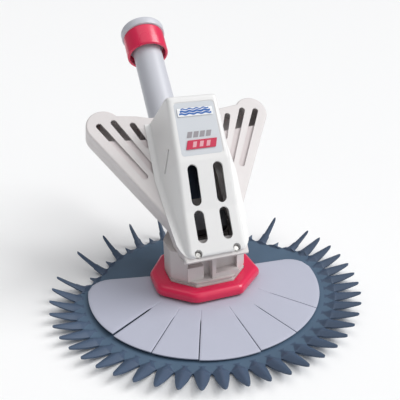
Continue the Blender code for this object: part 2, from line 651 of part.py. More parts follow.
def v_outline():
    """Front outline of the V, anticlockwise: neck, straight outer edge, rounded wing end, top edge."""
    half = [(V_FOOT_WIDTH - 0.002, V_FOOT_END), (V_FOOT_WIDTH, V_FOOT_ALONG), (V_NECK_WIDTH, V_NECK_ALONG)]
    half += arc(V_LOBE, V_LOBE_RADIUS, wing_edge_angle() - math.pi / 2, V_LOBE_END, 14)
    half += V_TOP_EDGE
    return half + [(-x, y) for x, y in reversed(half)]


def below_floor(name, height):
    return box(name, (-0.2, -0.2, -0.05), (0.2, 0.2, height), DISC_AXIS)


def channel_outline(radius, reach):
    """A round-backed U, open to the front, from the pipe's axis out to a reach."""
    return arc((0, 0), radius, math.pi, 2 * math.pi, 16) + [(radius, reach), (-radius, reach)]


def screw_places():
    return [(side * across, along) for across, along in BODY_SCREWS for side in (-1, 1)]


def make_body_back_shell():
    outline = v_outline()
    shell = prism("body_back_shell", outline, V_BACK, V_PARTING - GAP, outward, PIPE_AXIS, SHELL)
    channel = prism("back_channel", channel_outline(CHANNEL_RADIUS, V_BACK + V_WALL / 2),
                    CHANNEL_START, V_TOP, up_pipe, PIPE_AXIS)
    boolean(shell, channel, "UNION")
    bridge_low = CHANNEL_RADIUS + 2 * GAP
    bridge = [(-CHANNEL_RADIUS, bridge_low), (CHANNEL_RADIUS, bridge_low),
              (CHANNEL_RADIUS, V_BACK + V_WALL / 2), (-CHANNEL_RADIUS, V_BACK + V_WALL / 2)]
    boolean(shell, prism("back_bridge", bridge, BRIDGE_START, CHANNEL_START + CHANNEL_WALL / 2, up_pipe,
                         PIPE_AXIS), "UNION")
    hollow = prism("back_hollow", inset(outline, V_WALL), V_BACK + V_WALL, V_PARTING + 0.01, outward,
                   PIPE_AXIS)
    boolean(hollow, below_floor("back_floor_top", V_FLOOR + V_WALL))
    boolean(shell, hollow)
    trough = prism("back_trough", channel_outline(CHANNEL_RADIUS - CHANNEL_WALL, V_BACK + 0.01),
                   CHANNEL_START + CHANNEL_WALL, V_TOP - CHANNEL_WALL, up_pipe, PIPE_AXIS)
    boolean(shell, trough)
    under = CHANNEL_RADIUS - CHANNEL_WALL
    recess = [(-under, bridge_low + CHANNEL_WALL), (under, bridge_low + CHANNEL_WALL),
              (under, V_BACK + 0.01), (-under, V_BACK + 0.01)]
    recess = prism("bridge_hollow", recess, BRIDGE_START - 0.01, CHANNEL_START + CHANNEL_WALL + 0.001,
                   up_pipe, PIPE_AXIS)
    boolean(recess, below_floor("bridge_floor_top", V_FLOOR + V_WALL))
    boolean(shell, recess)
    boolean(shell, rod("back_lower_hole", CASSETTE_RADIUS + CASSETTE_FIT, CHANNEL_START - 0.01,
                       CHANNEL_START + 0.01, PIPE_AXIS))
    boolean(shell, rod("back_upper_hole", PIPE_RADIUS + PIPE_FIT, V_TOP - 0.01, V_TOP + 0.01, PIPE_AXIS))
    boolean(shell, below_floor("back_floor", V_FLOOR))
    for k, (across, along) in enumerate(screw_places()):
        boolean(shell, prism(f"back_screw_hole_{k}", hole_outline((across, along), BODY_SCREW_HOLE),
                             V_BACK - 0.01, V_BACK + 0.01, outward, PIPE_AXIS))
    for side in (-1, 1):
        boolean(shell, rod(f"floor_hole_{side}", NECK_SCREW_HOLE, V_FLOOR - 0.01, V_FLOOR + 0.01,
                           DISC_AXIS, sides=12, at=(side * NECK_SCREW[0], NECK_SCREW[1])))


def make_body_front_shell():
    outline = v_outline()
    shell = prism("body_front_shell", outline, V_PARTING, V_FRONT, outward, PIPE_AXIS, SHELL)
    hollow = prism("front_hollow", inset(outline, V_WALL), V_PARTING - 0.01, V_FRONT - V_WALL, outward,
                   PIPE_AXIS)
    boolean(hollow, below_floor("front_floor_top", V_FLOOR + V_WALL))
    boolean(shell, hollow)
    for k, (across, along) in enumerate(screw_places()):
        boss = prism(f"front_boss_{k}", hole_outline((across, along), BOSS_RADIUS),
                     V_BACK + V_WALL + GAP, V_FRONT - V_WALL / 2, outward, PIPE_AXIS)
        boolean(shell, boss, "UNION")
        hole = prism(f"front_boss_hole_{k}", hole_outline((across, along), BODY_SCREW_HOLE), V_BACK,
                     V_BACK + BOSS_HOLE_DEPTH, outward, PIPE_AXIS)
        boolean(shell, hole)
    low, high = OPENING_ALONG
    opening = [(-OPENING_HALF_WIDTH, low), (OPENING_HALF_WIDTH, low), (OPENING_HALF_WIDTH, high),
               (-OPENING_HALF_WIDTH, high)]
    boolean(shell, prism("front_opening", opening, V_FRONT - 0.01, V_FRONT + 0.01, outward, PIPE_AXIS))
    for side in (-1, 1):
        for k, (start, end) in enumerate(WING_SLOTS):
            slot = stadium((side * start[0], start[1]), (side * end[0], end[1]), SLOT_HALF_WIDTH)
            boolean(shell, prism(f"wing_slot_{side}_{k}", slot, V_FRONT - 0.006, V_FRONT + 0.006,
                                 outward, PIPE_AXIS))
        hole = hole_outline((side * COVER_SCREW[0], COVER_SCREW[1]), COVER_SCREW_HOLE)
        boolean(shell, prism(f"cover_screw_hole_{side}", hole, V_FRONT - 0.03, V_FRONT + 0.01, outward,
                             PIPE_AXIS))
    boolean(shell, below_floor("front_floor", V_FLOOR))


def cover_mesh(shrink=0.0, start=None):
    """The cover's outer block, or its hollow when shrunk: a loft over the cover's stations."""
    bm = bmesh.new()
    back = V_FRONT + GAP - (0.02 if shrink else 0.0)
    stations = [list(station) for station in COVER_STATIONS]
    if start is not None:
        first, second = stations[0], stations[1]
        share = (start - first[0]) / (second[0] - first[0])
        stations[0] = [a + (b - a) * share for a, b in zip(first, second)]
    stations[-1][0] -= shrink
    rings = []
    for along, out, front, base in stations:
        if shrink:
            spread = (base - front) / (out - V_FRONT)
            base += spread * 0.02
        corners = ((-base + shrink, back), (base - shrink, back), (front - shrink, out - shrink),
                   (-front + shrink, out - shrink))
        rings.append([bm.verts.new((x, -w, along)) for x, w in corners])
    for lower, upper in zip(rings, rings[1:]):
        for k in range(4):
            bm.faces.new((lower[k], lower[(k + 1) % 4], upper[(k + 1) % 4], upper[k]))
    bm.faces.new(rings[0][::-1])
    bm.faces.new(rings[-1])
    if not shrink:
        long_edges = [edge for edge in bm.edges if all(v in ring[2:] for v in edge.verts
                                                       for ring in rings if v in ring)]
        bmesh.ops.bevel(bm, geom=long_edges, offset=COVER_EDGE_ROUND, segments=2, profile=0.5,
                        affect="EDGES", material=-1, clamp_overlap=True)
    bmesh.ops.recalc_face_normals(bm, faces=bm.faces[:])
    return bm


def make_front_cover():
    cover = piece("front_cover", cover_mesh(), PIPE_AXIS, COVER)
    hollow = piece("cover_hollow", cover_mesh(COVER_WALL, COVER_SOLID_FOOT), PIPE_AXIS)
    boolean(cover, hollow)
    for side in (-1, 1):
        across = side * COVER_SLOT_ACROSS
        for k, (low, high) in enumerate(COVER_SLOTS):
            slot = stadium((across, low), (across, high), COVER_SLOT_HALF_WIDTH)
            boolean(cover, prism(f"cover_slot_{side}_{k}", slot, V_FRONT + 0.006, 0.17, outward, PIPE_AXIS))
        inner, outer = COVER_SIDE_SLOT
        corners = [(side * inner[0], *inner[1:]), (side * outer[0], *outer[1:])]
        boolean(cover, box(f"cover_side_slot_{side}", min(corners), max(corners), DISC_AXIS))
        recess = arc((side * COVER_SCREW[0], COVER_SCREW[1]), COVER_RECESS_RADIUS, 0, math.tau, 16)[:-1]
        boolean(cover, prism(f"cover_recess_{side}", recess, V_FRONT - 0.01, 0.12, outward, PIPE_AXIS))


def make_floats():
    clear = V_WALL + FLOAT_GAP + 0.002
    low, high = V_BACK + V_WALL + FLOAT_GAP, V_FRONT - V_WALL - FLOAT_GAP
    run = Vector((math.cos(wing_edge_angle()), math.sin(wing_edge_angle())))
    at = Vector((V_NECK_WIDTH, V_NECK_ALONG)) + Vector((-run.y, run.x)) * clear
    inner = CHANNEL_RADIUS + 0.003
    bottom, top = FLOAT_ALONG

    def on_edge(along):
        return at.x + run.x * (along - at.y) / run.y

    for side, name in ((-1, "left_float"), (1, "right_float")):
        outline = [(inner, bottom), (on_edge(bottom), bottom), (on_edge(top), top), (inner, top - 0.006)]
        prism(name, [(side * x, y) for x, y in outline], low, high, outward, PIPE_AXIS, FLOAT)


def make_ballast():
    half, (bottom, top) = BALLAST_HALF_WIDTH, BALLAST_ALONG
    prism("ballast_weight", [(-half, bottom), (half, bottom), (half, top), (-half, top)],
          V_BACK + V_WALL + GAP, V_FRONT - V_WALL - 0.002, outward, PIPE_AXIS, IRON)


# ---------------------------------------------------------------- cassette, diaphragm and pipes


def make_cassette():
    radius, bore = CASSETTE_RADIUS, CASSETTE_RADIUS - CASSETTE_WALL
    neck_end = PIPE_START - GAP
    turned("cassette_tube", [
        (bore, CASSETTE_START), (radius, CASSETTE_START), (radius, CASSETTE_SHOULDER),
        (PIPE_RADIUS, CASSETTE_SHOULDER + CASSETTE_SLOPE), (PIPE_RADIUS, neck_end), (PIPE_BORE, neck_end),
        (PIPE_BORE, CASSETTE_SHOULDER + CASSETTE_SLOPE - 0.002), (bore, CASSETTE_SHOULDER - 0.002)],
        PIPE_AXIS, CASSETTE)
    seal_low, seal_high = SOCKET_END + GAP, CHANNEL_START - GAP
    turned("cassette_seal", [
        (radius + CASSETTE_FIT, seal_low), (CHANNEL_RADIUS, seal_low), (CHANNEL_RADIUS, seal_high),
        (radius + CASSETTE_FIT, seal_high)], PIPE_AXIS, RUBBER)
    ring_high = CASSETTE_START - GAP
    ring_low = ring_high - DIAPHRAGM_RING_LENGTH
    turned("diaphragm_ring", [
        (radius - DIAPHRAGM_RING_WIDTH, ring_low), (radius, ring_low), (radius, ring_high),
        (radius - DIAPHRAGM_RING_WIDTH, ring_high)], PIPE_AXIS, CRIMSON, sides=32)
    seat = bore - GAP
    end = INNER_PIPE_START - GAP
    turned("diaphragm", [
        (seat - DIAPHRAGM_FLANGE, CASSETTE_START), (seat, CASSETTE_START),
        (seat, CASSETTE_START + DIAPHRAGM_FLANGE_LENGTH),
        (seat - 0.003, CASSETTE_START + DIAPHRAGM_CONE_LENGTH),
        (PIPE_BORE, end - DIAPHRAGM_NECK), (PIPE_BORE, end), (PIPE_BORE - DIAPHRAGM_WALL, end),
        (PIPE_BORE - DIAPHRAGM_WALL, end - DIAPHRAGM_NECK)], PIPE_AXIS, RUBBER, sides=32)


def make_pipes():
    collar = PIPE_END - PIPE_COLLAR_LENGTH
    turned("extension_pipe", [
        (PIPE_BORE, PIPE_START), (PIPE_RADIUS, PIPE_START), (PIPE_RADIUS, collar - PIPE_COLLAR_SLOPE),
        (PIPE_COLLAR_RADIUS, collar), (PIPE_COLLAR_RADIUS, PIPE_END), (PIPE_BORE, PIPE_END)],
        PIPE_AXIS, PIPE)
    radius = PIPE_BORE - GAP
    end = INNER_PIPE_START + INNER_PIPE_LENGTH
    turned("inner_pipe", [
        (radius - INNER_PIPE_WALL, INNER_PIPE_START), (radius, INNER_PIPE_START), (radius, end),
        (radius - INNER_PIPE_WALL, end)], PIPE_AXIS, PIPE, sides=32)
    seal_bore, seal_low = PIPE_RADIUS + GAP, V_TOP + GAP
    turned("pipe_seal", [
        (seal_bore, seal_low), (seal_bore + PIPE_SEAL_WALL, seal_low),
        (seal_bore + PIPE_SEAL_WALL - 0.001, V_TOP + PIPE_SEAL_HEIGHT), (seal_bore, V_TOP + PIPE_SEAL_HEIGHT)],
        PIPE_AXIS, RUBBER)


def make_nut_and_cuff():
    turned("compression_ring", [
        (PIPE_BORE, RING_START), (PIPE_COLLAR_RADIUS, RING_START),
        (PIPE_COLLAR_RADIUS, RING_START + RING_THICKNESS), (PIPE_BORE, RING_START + RING_THICKNESS)],
        PIPE_AXIS, RUBBER)
    thread = NUT_THREAD_RADIUS
    lip = CUFF_NECK_RADIUS + PIPE_FIT
    turned("hand_nut", [
        (thread + 0.0012, NUT_START), (NUT_RADIUS - 0.0016, NUT_START), (NUT_RADIUS, NUT_START + 0.003),
        (NUT_RADIUS, NUT_END - 0.002), (NUT_RADIUS - 0.002, NUT_END), (lip, NUT_END),
        (lip, NUT_LIP_START), (thread, NUT_LIP_START), (thread, NUT_START + 0.0015)], PIPE_AXIS, CRIMSON)
    socket_floor = CUFF_END - HOSE_SOCKET_DEPTH
    turned("hose_cuff", [
        (PIPE_BORE, CUFF_START), (PIPE_COLLAR_RADIUS, CUFF_START), (PIPE_COLLAR_RADIUS, CUFF_FLANGE_END),
        (CUFF_NECK_RADIUS, CUFF_FLANGE_END), (CUFF_NECK_RADIUS, CUFF_HEAD_START),
        (CUFF_RADIUS - 0.001, CUFF_HEAD_START), (CUFF_RADIUS, CUFF_HEAD_START + 0.0015),
        (CUFF_RADIUS, CUFF_END - 0.0035), (CUFF_RADIUS - 0.001, CUFF_END - 0.001),
        (CUFF_RADIUS - 0.0035, CUFF_END), (HOSE_SOCKET_RADIUS, CUFF_END),
        (HOSE_SOCKET_RADIUS, socket_floor), (PIPE_BORE, socket_floor)], PIPE_AXIS, PIPE)
    washer_low, washer_radius = socket_floor + GAP, HOSE_SOCKET_RADIUS - GAP
    turned("hose_washer", [
        (PIPE_BORE + 0.0005, washer_low), (washer_radius, washer_low),
        (washer_radius, washer_low + WASHER_HEIGHT), (PIPE_BORE + 0.0005, washer_low + WASHER_HEIGHT)],
        PIPE_AXIS, RUBBER, sides=32)


# ---------------------------------------------------------------- fasteners and plates


def screw_profile(head_radius, head_height, shank_radius, length):
    """A pan-head screw with its point down; the underside of the head is at zero."""
    return [(0, -length), (shank_radius, -length + 0.001), (shank_radius, 0), (head_radius, 0),
            (head_radius, head_height * 0.6), (head_radius * 0.7, head_height), (0, head_height)]


def make_screw(name, parent, head_radius, head_height, shank_radius, length, at, turn):
    bm = bmesh.new()
    profile = screw_profile(head_radius, head_height, shank_radius, length)
    verts = [bm.verts.new((radius, 0, height)) for radius, height in profile]
    edges = [bm.edges.new(pair) for pair in zip(verts, verts[1:])]
    bmesh.ops.spin(bm, geom=verts + edges, axis=(0, 0, 1), cent=(0, 0, 0), angle=2 * math.pi, steps=10,
                   use_merge=True)
    bmesh.ops.remove_doubles(bm, verts=bm.verts[:], dist=1e-6)
    bmesh.ops.recalc_face_normals(bm, faces=bm.faces[:])
    made = piece(name, bm, parent, STEEL)
    made.location = at
    made.rotation_euler = (turn, 0, 0)


def make_screws():
    for side, word in ((-1, "left"), (1, "right")):
        make_screw(f"cover_screw_{word}", PIPE_AXIS, 0.0042, 0.0024, 0.0019, 0.016,
                   (side * COVER_SCREW[0], -(V_FRONT + GAP), COVER_SCREW[1]), math.pi / 2)
        make_screw(f"neck_screw_{word}", DISC_AXIS, 0.0042, 0.0024, 0.0018, 0.014,
                   (side * NECK_SCREW[0], NECK_SCREW[1], V_FLOOR + V_WALL + GAP), 0)
        for row, (across, along) in zip(("upper", "middle", "lower"), BODY_SCREWS):
            make_screw(f"body_screw_{word}_{row}", PIPE_AXIS, 0.0040, 0.0022, 0.0014, 0.026,
                       (side * across, -(V_BACK - GAP), along), -math.pi / 2)


def make_plates():
    """Two thin blank plates on the sloping upper face of the cover."""
    low, high = Vector(COVER_STATIONS[2][:2]), Vector(COVER_STATIONS[3][:2])
    slope = math.atan2(high.y - low.y, high.x - low.x)
    face = frame_empty("cover_face", (0, -low.y, low.x), slope, PIPE_AXIS)
    prism("title_plate", TITLE_PLATE, GAP, GAP + PLATE_THICKNESS, outward, face, PLATE)
    prism("badge_plate", BADGE_PLATE, GAP, GAP + PLATE_THICKNESS, outward, face, CRIMSON)


make_foot_pad()
make_foot_flange()
make_finned_disc()
make_disc_bush()
make_skirt()
make_lower_housing()
make_bumper_strap()
make_body_back_shell()
make_body_front_shell()
make_front_cover()
make_floats()
make_ballast()
make_cassette()
make_pipes()
make_nut_and_cuff()
make_screws()
make_plates()
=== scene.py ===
"""The looks of a suction pool cleaner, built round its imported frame. Metres, +Z up, front towards -Y.

Pieces are modelled in one of two local frames and then put in place: the disc frame, upright and
centred on the suction throat, and the pipe frame, whose Z runs up the pipe and whose -Y points out of
the front of the body. Lengths up the pipe are "along", distances towards the front are "out".
"""

import json
import math

import bmesh
import bpy
from mathutils import Matrix, Vector


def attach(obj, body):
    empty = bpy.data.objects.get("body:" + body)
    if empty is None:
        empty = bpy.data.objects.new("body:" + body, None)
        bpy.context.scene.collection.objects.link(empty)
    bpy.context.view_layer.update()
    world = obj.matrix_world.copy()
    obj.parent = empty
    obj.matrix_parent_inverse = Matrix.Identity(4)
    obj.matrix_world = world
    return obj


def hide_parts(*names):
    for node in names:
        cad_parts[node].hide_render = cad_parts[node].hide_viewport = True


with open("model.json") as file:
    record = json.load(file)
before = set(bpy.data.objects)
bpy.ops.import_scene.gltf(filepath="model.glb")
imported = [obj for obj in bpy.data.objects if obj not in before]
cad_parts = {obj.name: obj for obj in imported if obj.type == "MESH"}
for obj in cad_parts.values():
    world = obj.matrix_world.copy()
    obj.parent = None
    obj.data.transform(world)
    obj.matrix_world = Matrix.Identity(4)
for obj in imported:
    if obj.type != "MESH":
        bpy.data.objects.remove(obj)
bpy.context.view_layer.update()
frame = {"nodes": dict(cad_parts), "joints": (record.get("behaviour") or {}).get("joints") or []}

# ---------------------------------------------------------------- places read from the frame

joints = {joint["name"]: joint for joint in frame["joints"]}
throat = Vector(joints["disc_spin"]["pos_m"])
nut_axis = Vector(joints["nut_turn"]["axis"])
nut_point = Vector(joints["nut_turn"]["pos_m"])
LEAN = math.atan2(nut_axis.y, nut_axis.z)
AXIS_HEIGHT = nut_point.z - (nut_point.y - throat.y) / math.tan(LEAN)
DISC_FRAME = Matrix.Translation((0, throat.y, 0))
PIPE_FRAME = Matrix.Translation((0, throat.y, AXIS_HEIGHT)) @ Matrix.Rotation(-LEAN, 4, "X")


def local_box(node, place):
    """Lowest and highest corner of a CAD node in a local frame."""
    into = place.inverted()
    points = [into @ vertex.co for vertex in frame["nodes"][node].data.vertices]
    low = Vector([min(point[k] for point in points) for k in range(3)])
    high = Vector([max(point[k] for point in points) for k in range(3)])
    return low, high


DISC_LOW = local_box("finned_disc", DISC_FRAME)[0]
SKIRT_BOX_HIGH = local_box("skirt", DISC_FRAME)[1]
HOUSING_BOX_LOW = local_box("lower_housing", DISC_FRAME)[0]
STRAP_BOX_LOW, STRAP_BOX_HIGH = local_box("bumper_strap", DISC_FRAME)
FRONT_SHELL_LOW = local_box("body_front_shell", PIPE_FRAME)[0]
COVER_LOW, COVER_HIGH = local_box("front_cover", PIPE_FRAME)
TUBE_LOW, TUBE_HIGH = local_box("extension_pipe", PIPE_FRAME)
NUT_LOW, NUT_HIGH = local_box("hand_nut", PIPE_FRAME)
CUFF_LOW, CUFF_HIGH = local_box("hose_cuff", PIPE_FRAME)
CASSETTE_LOW, CASSETTE_HIGH = local_box("cassette_tube", PIPE_FRAME)

GAP = 0.0003

# ---------------------------------------------------------------- finishes


def plastic(name, colour, roughness, mottle=0.06, grain=0.12, grain_size=1500.0, coat=0.0,
            subsurface=0.0):
    """Moulded plastic: a fine grain in the bump, and slow changes in its colour and gloss."""
    made = bpy.data.materials.new(name)
    made.use_nodes = True
    nodes, links = made.node_tree.nodes, made.node_tree.links
    shader = nodes["Principled BSDF"]
    place = nodes.new("ShaderNodeTexCoord")
    slow = nodes.new("ShaderNodeTexNoise")
    slow.inputs["Scale"].default_value = 22.0
    slow.inputs["Detail"].default_value = 4.0
    links.new(place.outputs["Object"], slow.inputs["Vector"])
    tint = nodes.new("ShaderNodeMix")
    tint.data_type = "RGBA"
    tint.inputs[6].default_value = (*[c * (1 - mottle) for c in colour], 1)
    tint.inputs[7].default_value = (*[min(1.0, c * (1 + mottle)) for c in colour], 1)
    links.new(slow.outputs["Fac"], tint.inputs[0])
    links.new(tint.outputs[2], shader.inputs["Base Color"])
    gloss = nodes.new("ShaderNodeMapRange")
    gloss.inputs["To Min"].default_value = roughness - 0.05
    gloss.inputs["To Max"].default_value = roughness + 0.06
    links.new(slow.outputs["Fac"], gloss.inputs["Value"])
    links.new(gloss.outputs["Result"], shader.inputs["Roughness"])
    fine = nodes.new("ShaderNodeTexNoise")
    fine.inputs["Scale"].default_value = grain_size
    fine.inputs["Detail"].default_value = 2.0
    links.new(place.outputs["Object"], fine.inputs["Vector"])
    bump = nodes.new("ShaderNodeBump")
    bump.inputs["Strength"].default_value = grain
    bump.inputs["Distance"].default_value = 0.0002
    links.new(fine.outputs["Fac"], bump.inputs["Height"])
    links.new(bump.outputs["Normal"], shader.inputs["Normal"])
    shader.inputs["Coat Weight"].default_value = coat
    shader.inputs["Coat Roughness"].default_value = 0.15
    if subsurface:
        shader.inputs["Subsurface Weight"].default_value = subsurface
        shader.inputs["Subsurface Radius"].default_value = (0.004, 0.003, 0.003)
        shader.inputs["Subsurface Scale"].default_value = 0.5
    return made


def metal(name, colour, roughness):
    made = plastic(name, colour, roughness, mottle=0.1, grain=0.2, grain_size=900.0)
    made.node_tree.nodes["Principled BSDF"].inputs["Metallic"].default_value = 1.0
    return made


def disc_rubber():
    """Slate rubber with painted shade: the folded fin bodies are darkened, so the flat web reads paler and
    bluer, as a lit sheen would make it.
    """
    made = plastic("slate_disc_rubber", (0.075, 0.125, 0.19), 0.50, mottle=0.16, grain=0.25,
                   grain_size=700.0)
    nodes, links = made.node_tree.nodes, made.node_tree.links
    shader = nodes["Principled BSDF"]
    web = shader.inputs["Base Color"].links[0].from_socket
    # mask of the fin bodies, which carry painted shade
    body = nodes.new("ShaderNodeAttribute")
    body.attribute_name = "fin_painted_shade"
    dark = nodes.new("ShaderNodeMix")
    dark.data_type = "RGBA"
    dark.blend_type = "MULTIPLY"
    # painted shade: the fin bodies are multiplied by this darker violet grey, which stands in for the shade
    # and the missing sheen on their tilted faces
    dark.inputs[7].default_value = (0.74, 0.71, 0.78, 1)
    links.new(body.outputs["Fac"], dark.inputs[0])
    links.new(web, dark.inputs[6])
    links.new(dark.outputs[2], shader.inputs["Base Color"])
    return made


SHELL = plastic("pearl_shell_plastic", (0.67, 0.635, 0.63), 0.40, mottle=0.03, subsurface=0.05)
COVER = plastic("white_cover_plastic", (0.78, 0.775, 0.77), 0.30, mottle=0.02, coat=0.15)
BASE = plastic("warm_grey_plastic", (0.62, 0.575, 0.565), 0.42, mottle=0.04)
PIPE = plastic("cool_grey_pipe_plastic", (0.56, 0.57, 0.62), 0.36, mottle=0.03)
CRIMSON = plastic("crimson_plastic", (0.72, 0.011, 0.075), 0.28, mottle=0.05, coat=0.35)
SLATE = disc_rubber()
LAVENDER = plastic("lavender_skirt_plastic", (0.47, 0.485, 0.58), 0.50, mottle=0.04, grain=0.2)
CASSETTE = plastic("blue_grey_plastic", (0.10, 0.13, 0.20), 0.28, mottle=0.1, coat=0.2)
RUBBER = plastic("black_rubber", (0.02, 0.02, 0.023), 0.62, mottle=0.2, grain=0.3)
FOAM = plastic("pale_float_foam", (0.66, 0.60, 0.60), 0.75, mottle=0.08, grain=0.6, grain_size=420.0)
IRON = metal("coated_iron", (0.10, 0.10, 0.11), 0.55)
STEEL = metal("stainless_steel", (0.58, 0.57, 0.55), 0.26)
PRINT_WHITE = plastic("white_print_film", (0.86, 0.87, 0.88), 0.28, mottle=0.01, grain=0.05)
PANEL = plastic("panel_tint_film", (0.60, 0.625, 0.66), 0.34, mottle=0.02, grain=0.05)
PRINT_PINK = plastic("pink_print", (0.72, 0.38, 0.42), 0.32, mottle=0.03, grain=0.05)
PRINT_BLUE = plastic("blue_print", (0.03, 0.13, 0.42), 0.30, mottle=0.03, grain=0.05)
PRINT_GREY = plastic("grey_print", (0.30, 0.28, 0.30), 0.35, mottle=0.03, grain=0.05)
PRINT_RED = plastic("crimson_print", (0.55, 0.02, 0.07), 0.30, mottle=0.04, grain=0.05)

# ---------------------------------------------------------------- modelling tools


def put(name, mesh, look):
    made = bpy.data.objects.new(name, mesh)
    bpy.context.scene.collection.objects.link(made)
    if look is not None:
        mesh.materials.append(look)
    return made


def mesh_of(name, bm):
    mesh = bpy.data.meshes.new(name)
    bm.to_mesh(mesh)
    bm.free()
    return mesh


def finished(name, bm, place, look, stands_for=(), body="root", rounding=0.0, smooth=38,
             segments=3):
    """A piece from a bmesh in a local frame: put in place, its edges rounded, riding on a body."""
    bmesh.ops.transform(bm, matrix=place, verts=bm.verts[:])
    made = put(name, mesh_of(name, bm), look)
    made.data.shade_smooth()
    if rounding:
        edge = made.modifiers.new("rounded_edges", "BEVEL")
        edge.width = rounding
        edge.segments = segments
        edge.limit_method = "ANGLE"
        edge.angle_limit = math.radians(smooth)
        edge.use_clamp_overlap = True
        even = made.modifiers.new("even_shading", "WEIGHTED_NORMAL")
        even.keep_sharp = False
    else:
        made.data.set_sharp_from_angle(angle=math.radians(smooth))
    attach(made, body)
    if stands_for:
        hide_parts(*stands_for)
    return made


def shaped(base, *steps):
    """A bmesh after a run of ("cut", tool) and ("join", tool) steps."""
    work = put("work", mesh_of("work", base), None)
    tools = []
    for how, tool in steps:
        other = put("tool", mesh_of("tool", tool), None)
        tools.append(other)
        step = work.modifiers.new(how, "BOOLEAN")
        step.operation = "UNION" if how == "join" else "DIFFERENCE"
        step.solver = "EXACT"
        step.object = other
    result = bmesh.new()
    result.from_object(work, bpy.context.evaluated_depsgraph_get())
    for item in [work, *tools]:
        mesh = item.data
        bpy.data.objects.remove(item)
        bpy.data.meshes.remove(mesh)
    return result


def prism(outline, start, end, place):
    """An outline extruded from start to end; place(a, b, depth) gives the local point."""
    bm = bmesh.new()
    face = bm.faces.new([bm.verts.new(place(a, b, start)) for a, b in outline])
    step = Vector(place(*outline[0], end)) - Vector(place(*outline[0], start))
    made = bmesh.ops.extrude_face_region(bm, geom=[face])
    moved = [item for item in made["geom"] if isinstance(item, bmesh.types.BMVert)]
    bmesh.ops.translate(bm, verts=moved, vec=step)
    bmesh.ops.recalc_face_normals(bm, faces=bm.faces[:])
    return bm


def upright(a, b, depth):
    """Outline in plan, extruded up."""
    return (a, b, depth)


def outward(a, b, depth):
    """Outline across and along the pipe, extruded out of the front."""
    return (a, -depth, b)


def up_pipe(a, b, depth):
    """Outline across and out, extruded along the pipe."""
    return (a, -b, depth)


def block(low, high):
    bm = bmesh.new()
    bmesh.ops.create_cube(bm, size=1.0)
    size = Vector(high) - Vector(low)
    bmesh.ops.scale(bm, vec=size, verts=bm.verts[:])
    bmesh.ops.translate(bm, vec=Vector(low) + size / 2, verts=bm.verts[:])
    return bm


def rod(radius, low, high, at=(0, 0), sides=64):
    bm = bmesh.new()
    bmesh.ops.create_cone(bm, cap_ends=True, segments=sides, radius1=radius, radius2=radius,
                          depth=high - low)
    bmesh.ops.translate(bm, verts=bm.verts[:], vec=(at[0], at[1], (low + high) / 2))
    return bm


def turned(profile, sides=128):
    """A closed (radius, height) profile spun round local Z."""
    bm = bmesh.new()
    verts = [bm.verts.new((radius, 0, height)) for radius, height in profile]
    edges = [bm.edges.new(pair) for pair in zip(verts, verts[1:] + verts[:1])]
    bmesh.ops.spin(bm, geom=verts + edges, axis=(0, 0, 1), cent=(0, 0, 0), angle=math.tau,
                   steps=sides, use_merge=True)
    bmesh.ops.remove_doubles(bm, verts=bm.verts[:], dist=1e-6)
    bmesh.ops.recalc_face_normals(bm, faces=bm.faces[:])
    return bm


def arc(centre, radius, start, end, steps):
    turn = [start + (end - start) * k / steps for k in range(steps + 1)]
    return [(centre[0] + radius * math.cos(a), centre[1] + radius * math.sin(a)) for a in turn]


def circle(centre, radius, sides=32):
    return arc(centre, radius, 0, math.tau, sides)[:-1]


def stadium(start, end, radius, steps=14):
    """A slot's outline between the centres of its two round ends."""
    heading = math.atan2(end[1] - start[1], end[0] - start[0])
    quarter = math.pi / 2
    return (arc(end, radius, heading - quarter, heading + quarter, steps)
            + arc(start, radius, heading + quarter, heading + 3 * quarter, steps))


def inset(outline, distance):
    """An anticlockwise outline moved inwards by a distance, with mitred corners."""
    moved = []
    count = len(outline)
    for k in range(count):
        before = Vector(outline[k]) - Vector(outline[k - 1])
        after = Vector(outline[(k + 1) % count]) - Vector(outline[k])
        first = Vector((-before.y, before.x)).normalized()
        second = Vector((-after.y, after.x)).normalized()
        bisector = (first + second).normalized()
        reach = distance / max(bisector.dot(first), 0.2)
        moved.append(tuple(Vector(outline[k]) + bisector * reach))
    return moved


def rounded(outline, radii, steps=6):
    """The outline with each corner turned into an arc; radii is one number or one for each corner."""
    made = []
    count = len(outline)
    if not hasattr(radii, "__len__"):
        radii = [radii] * count
    for k, radius in enumerate(radii):
        corner = Vector(outline[k])
        back = (Vector(outline[k - 1]) - corner)
        on = (Vector(outline[(k + 1) % count]) - corner)
        half = back.angle(on) / 2
        reach = min(radius / math.tan(half), back.length * 0.48, on.length * 0.48)
        if reach < 1e-5:
            made.append(tuple(corner))
            continue
        start, end = corner + back.normalized() * reach, corner + on.normalized() * reach
        for step in range(steps + 1):
            t = step / steps
            made.append(tuple(start.lerp(corner, t).lerp(corner.lerp(end, t), t)))
    return made


def bridged(rings, caps=True):
    """Rings of points, each closed, joined in turn; the first and last ring are capped."""
    bm = bmesh.new()
    loops = []
    for ring in rings:
        verts = [bm.verts.new(point) for point in ring]
        loops.append([bm.edges.new(pair) for pair in zip(verts, verts[1:] + verts[:1])])
    for first, second in zip(loops, loops[1:]):
        bmesh.ops.bridge_loops(bm, edges=first + second)
    if caps:
        for loop in (loops[0], loops[-1]):
            bmesh.ops.contextual_create(bm, geom=loop)
    bmesh.ops.recalc_face_normals(bm, faces=bm.faces[:])
    return bm


def softened(bm, width, segments, chosen):
    """The bmesh with the chosen edges bevelled."""
    edges = [edge for edge in bm.edges if chosen(edge)]
    bmesh.ops.bevel(bm, geom=edges, offset=width, segments=segments, profile=0.5, affect="EDGES",
                    material=-1, clamp_overlap=True)
    return bm


def smoothstep(low, high, value):
    share = min(1.0, max(0.0, (value - low) / (high - low)))
    return share * share * (3 - 2 * share)


# ---------------------------------------------------------------- finned disc

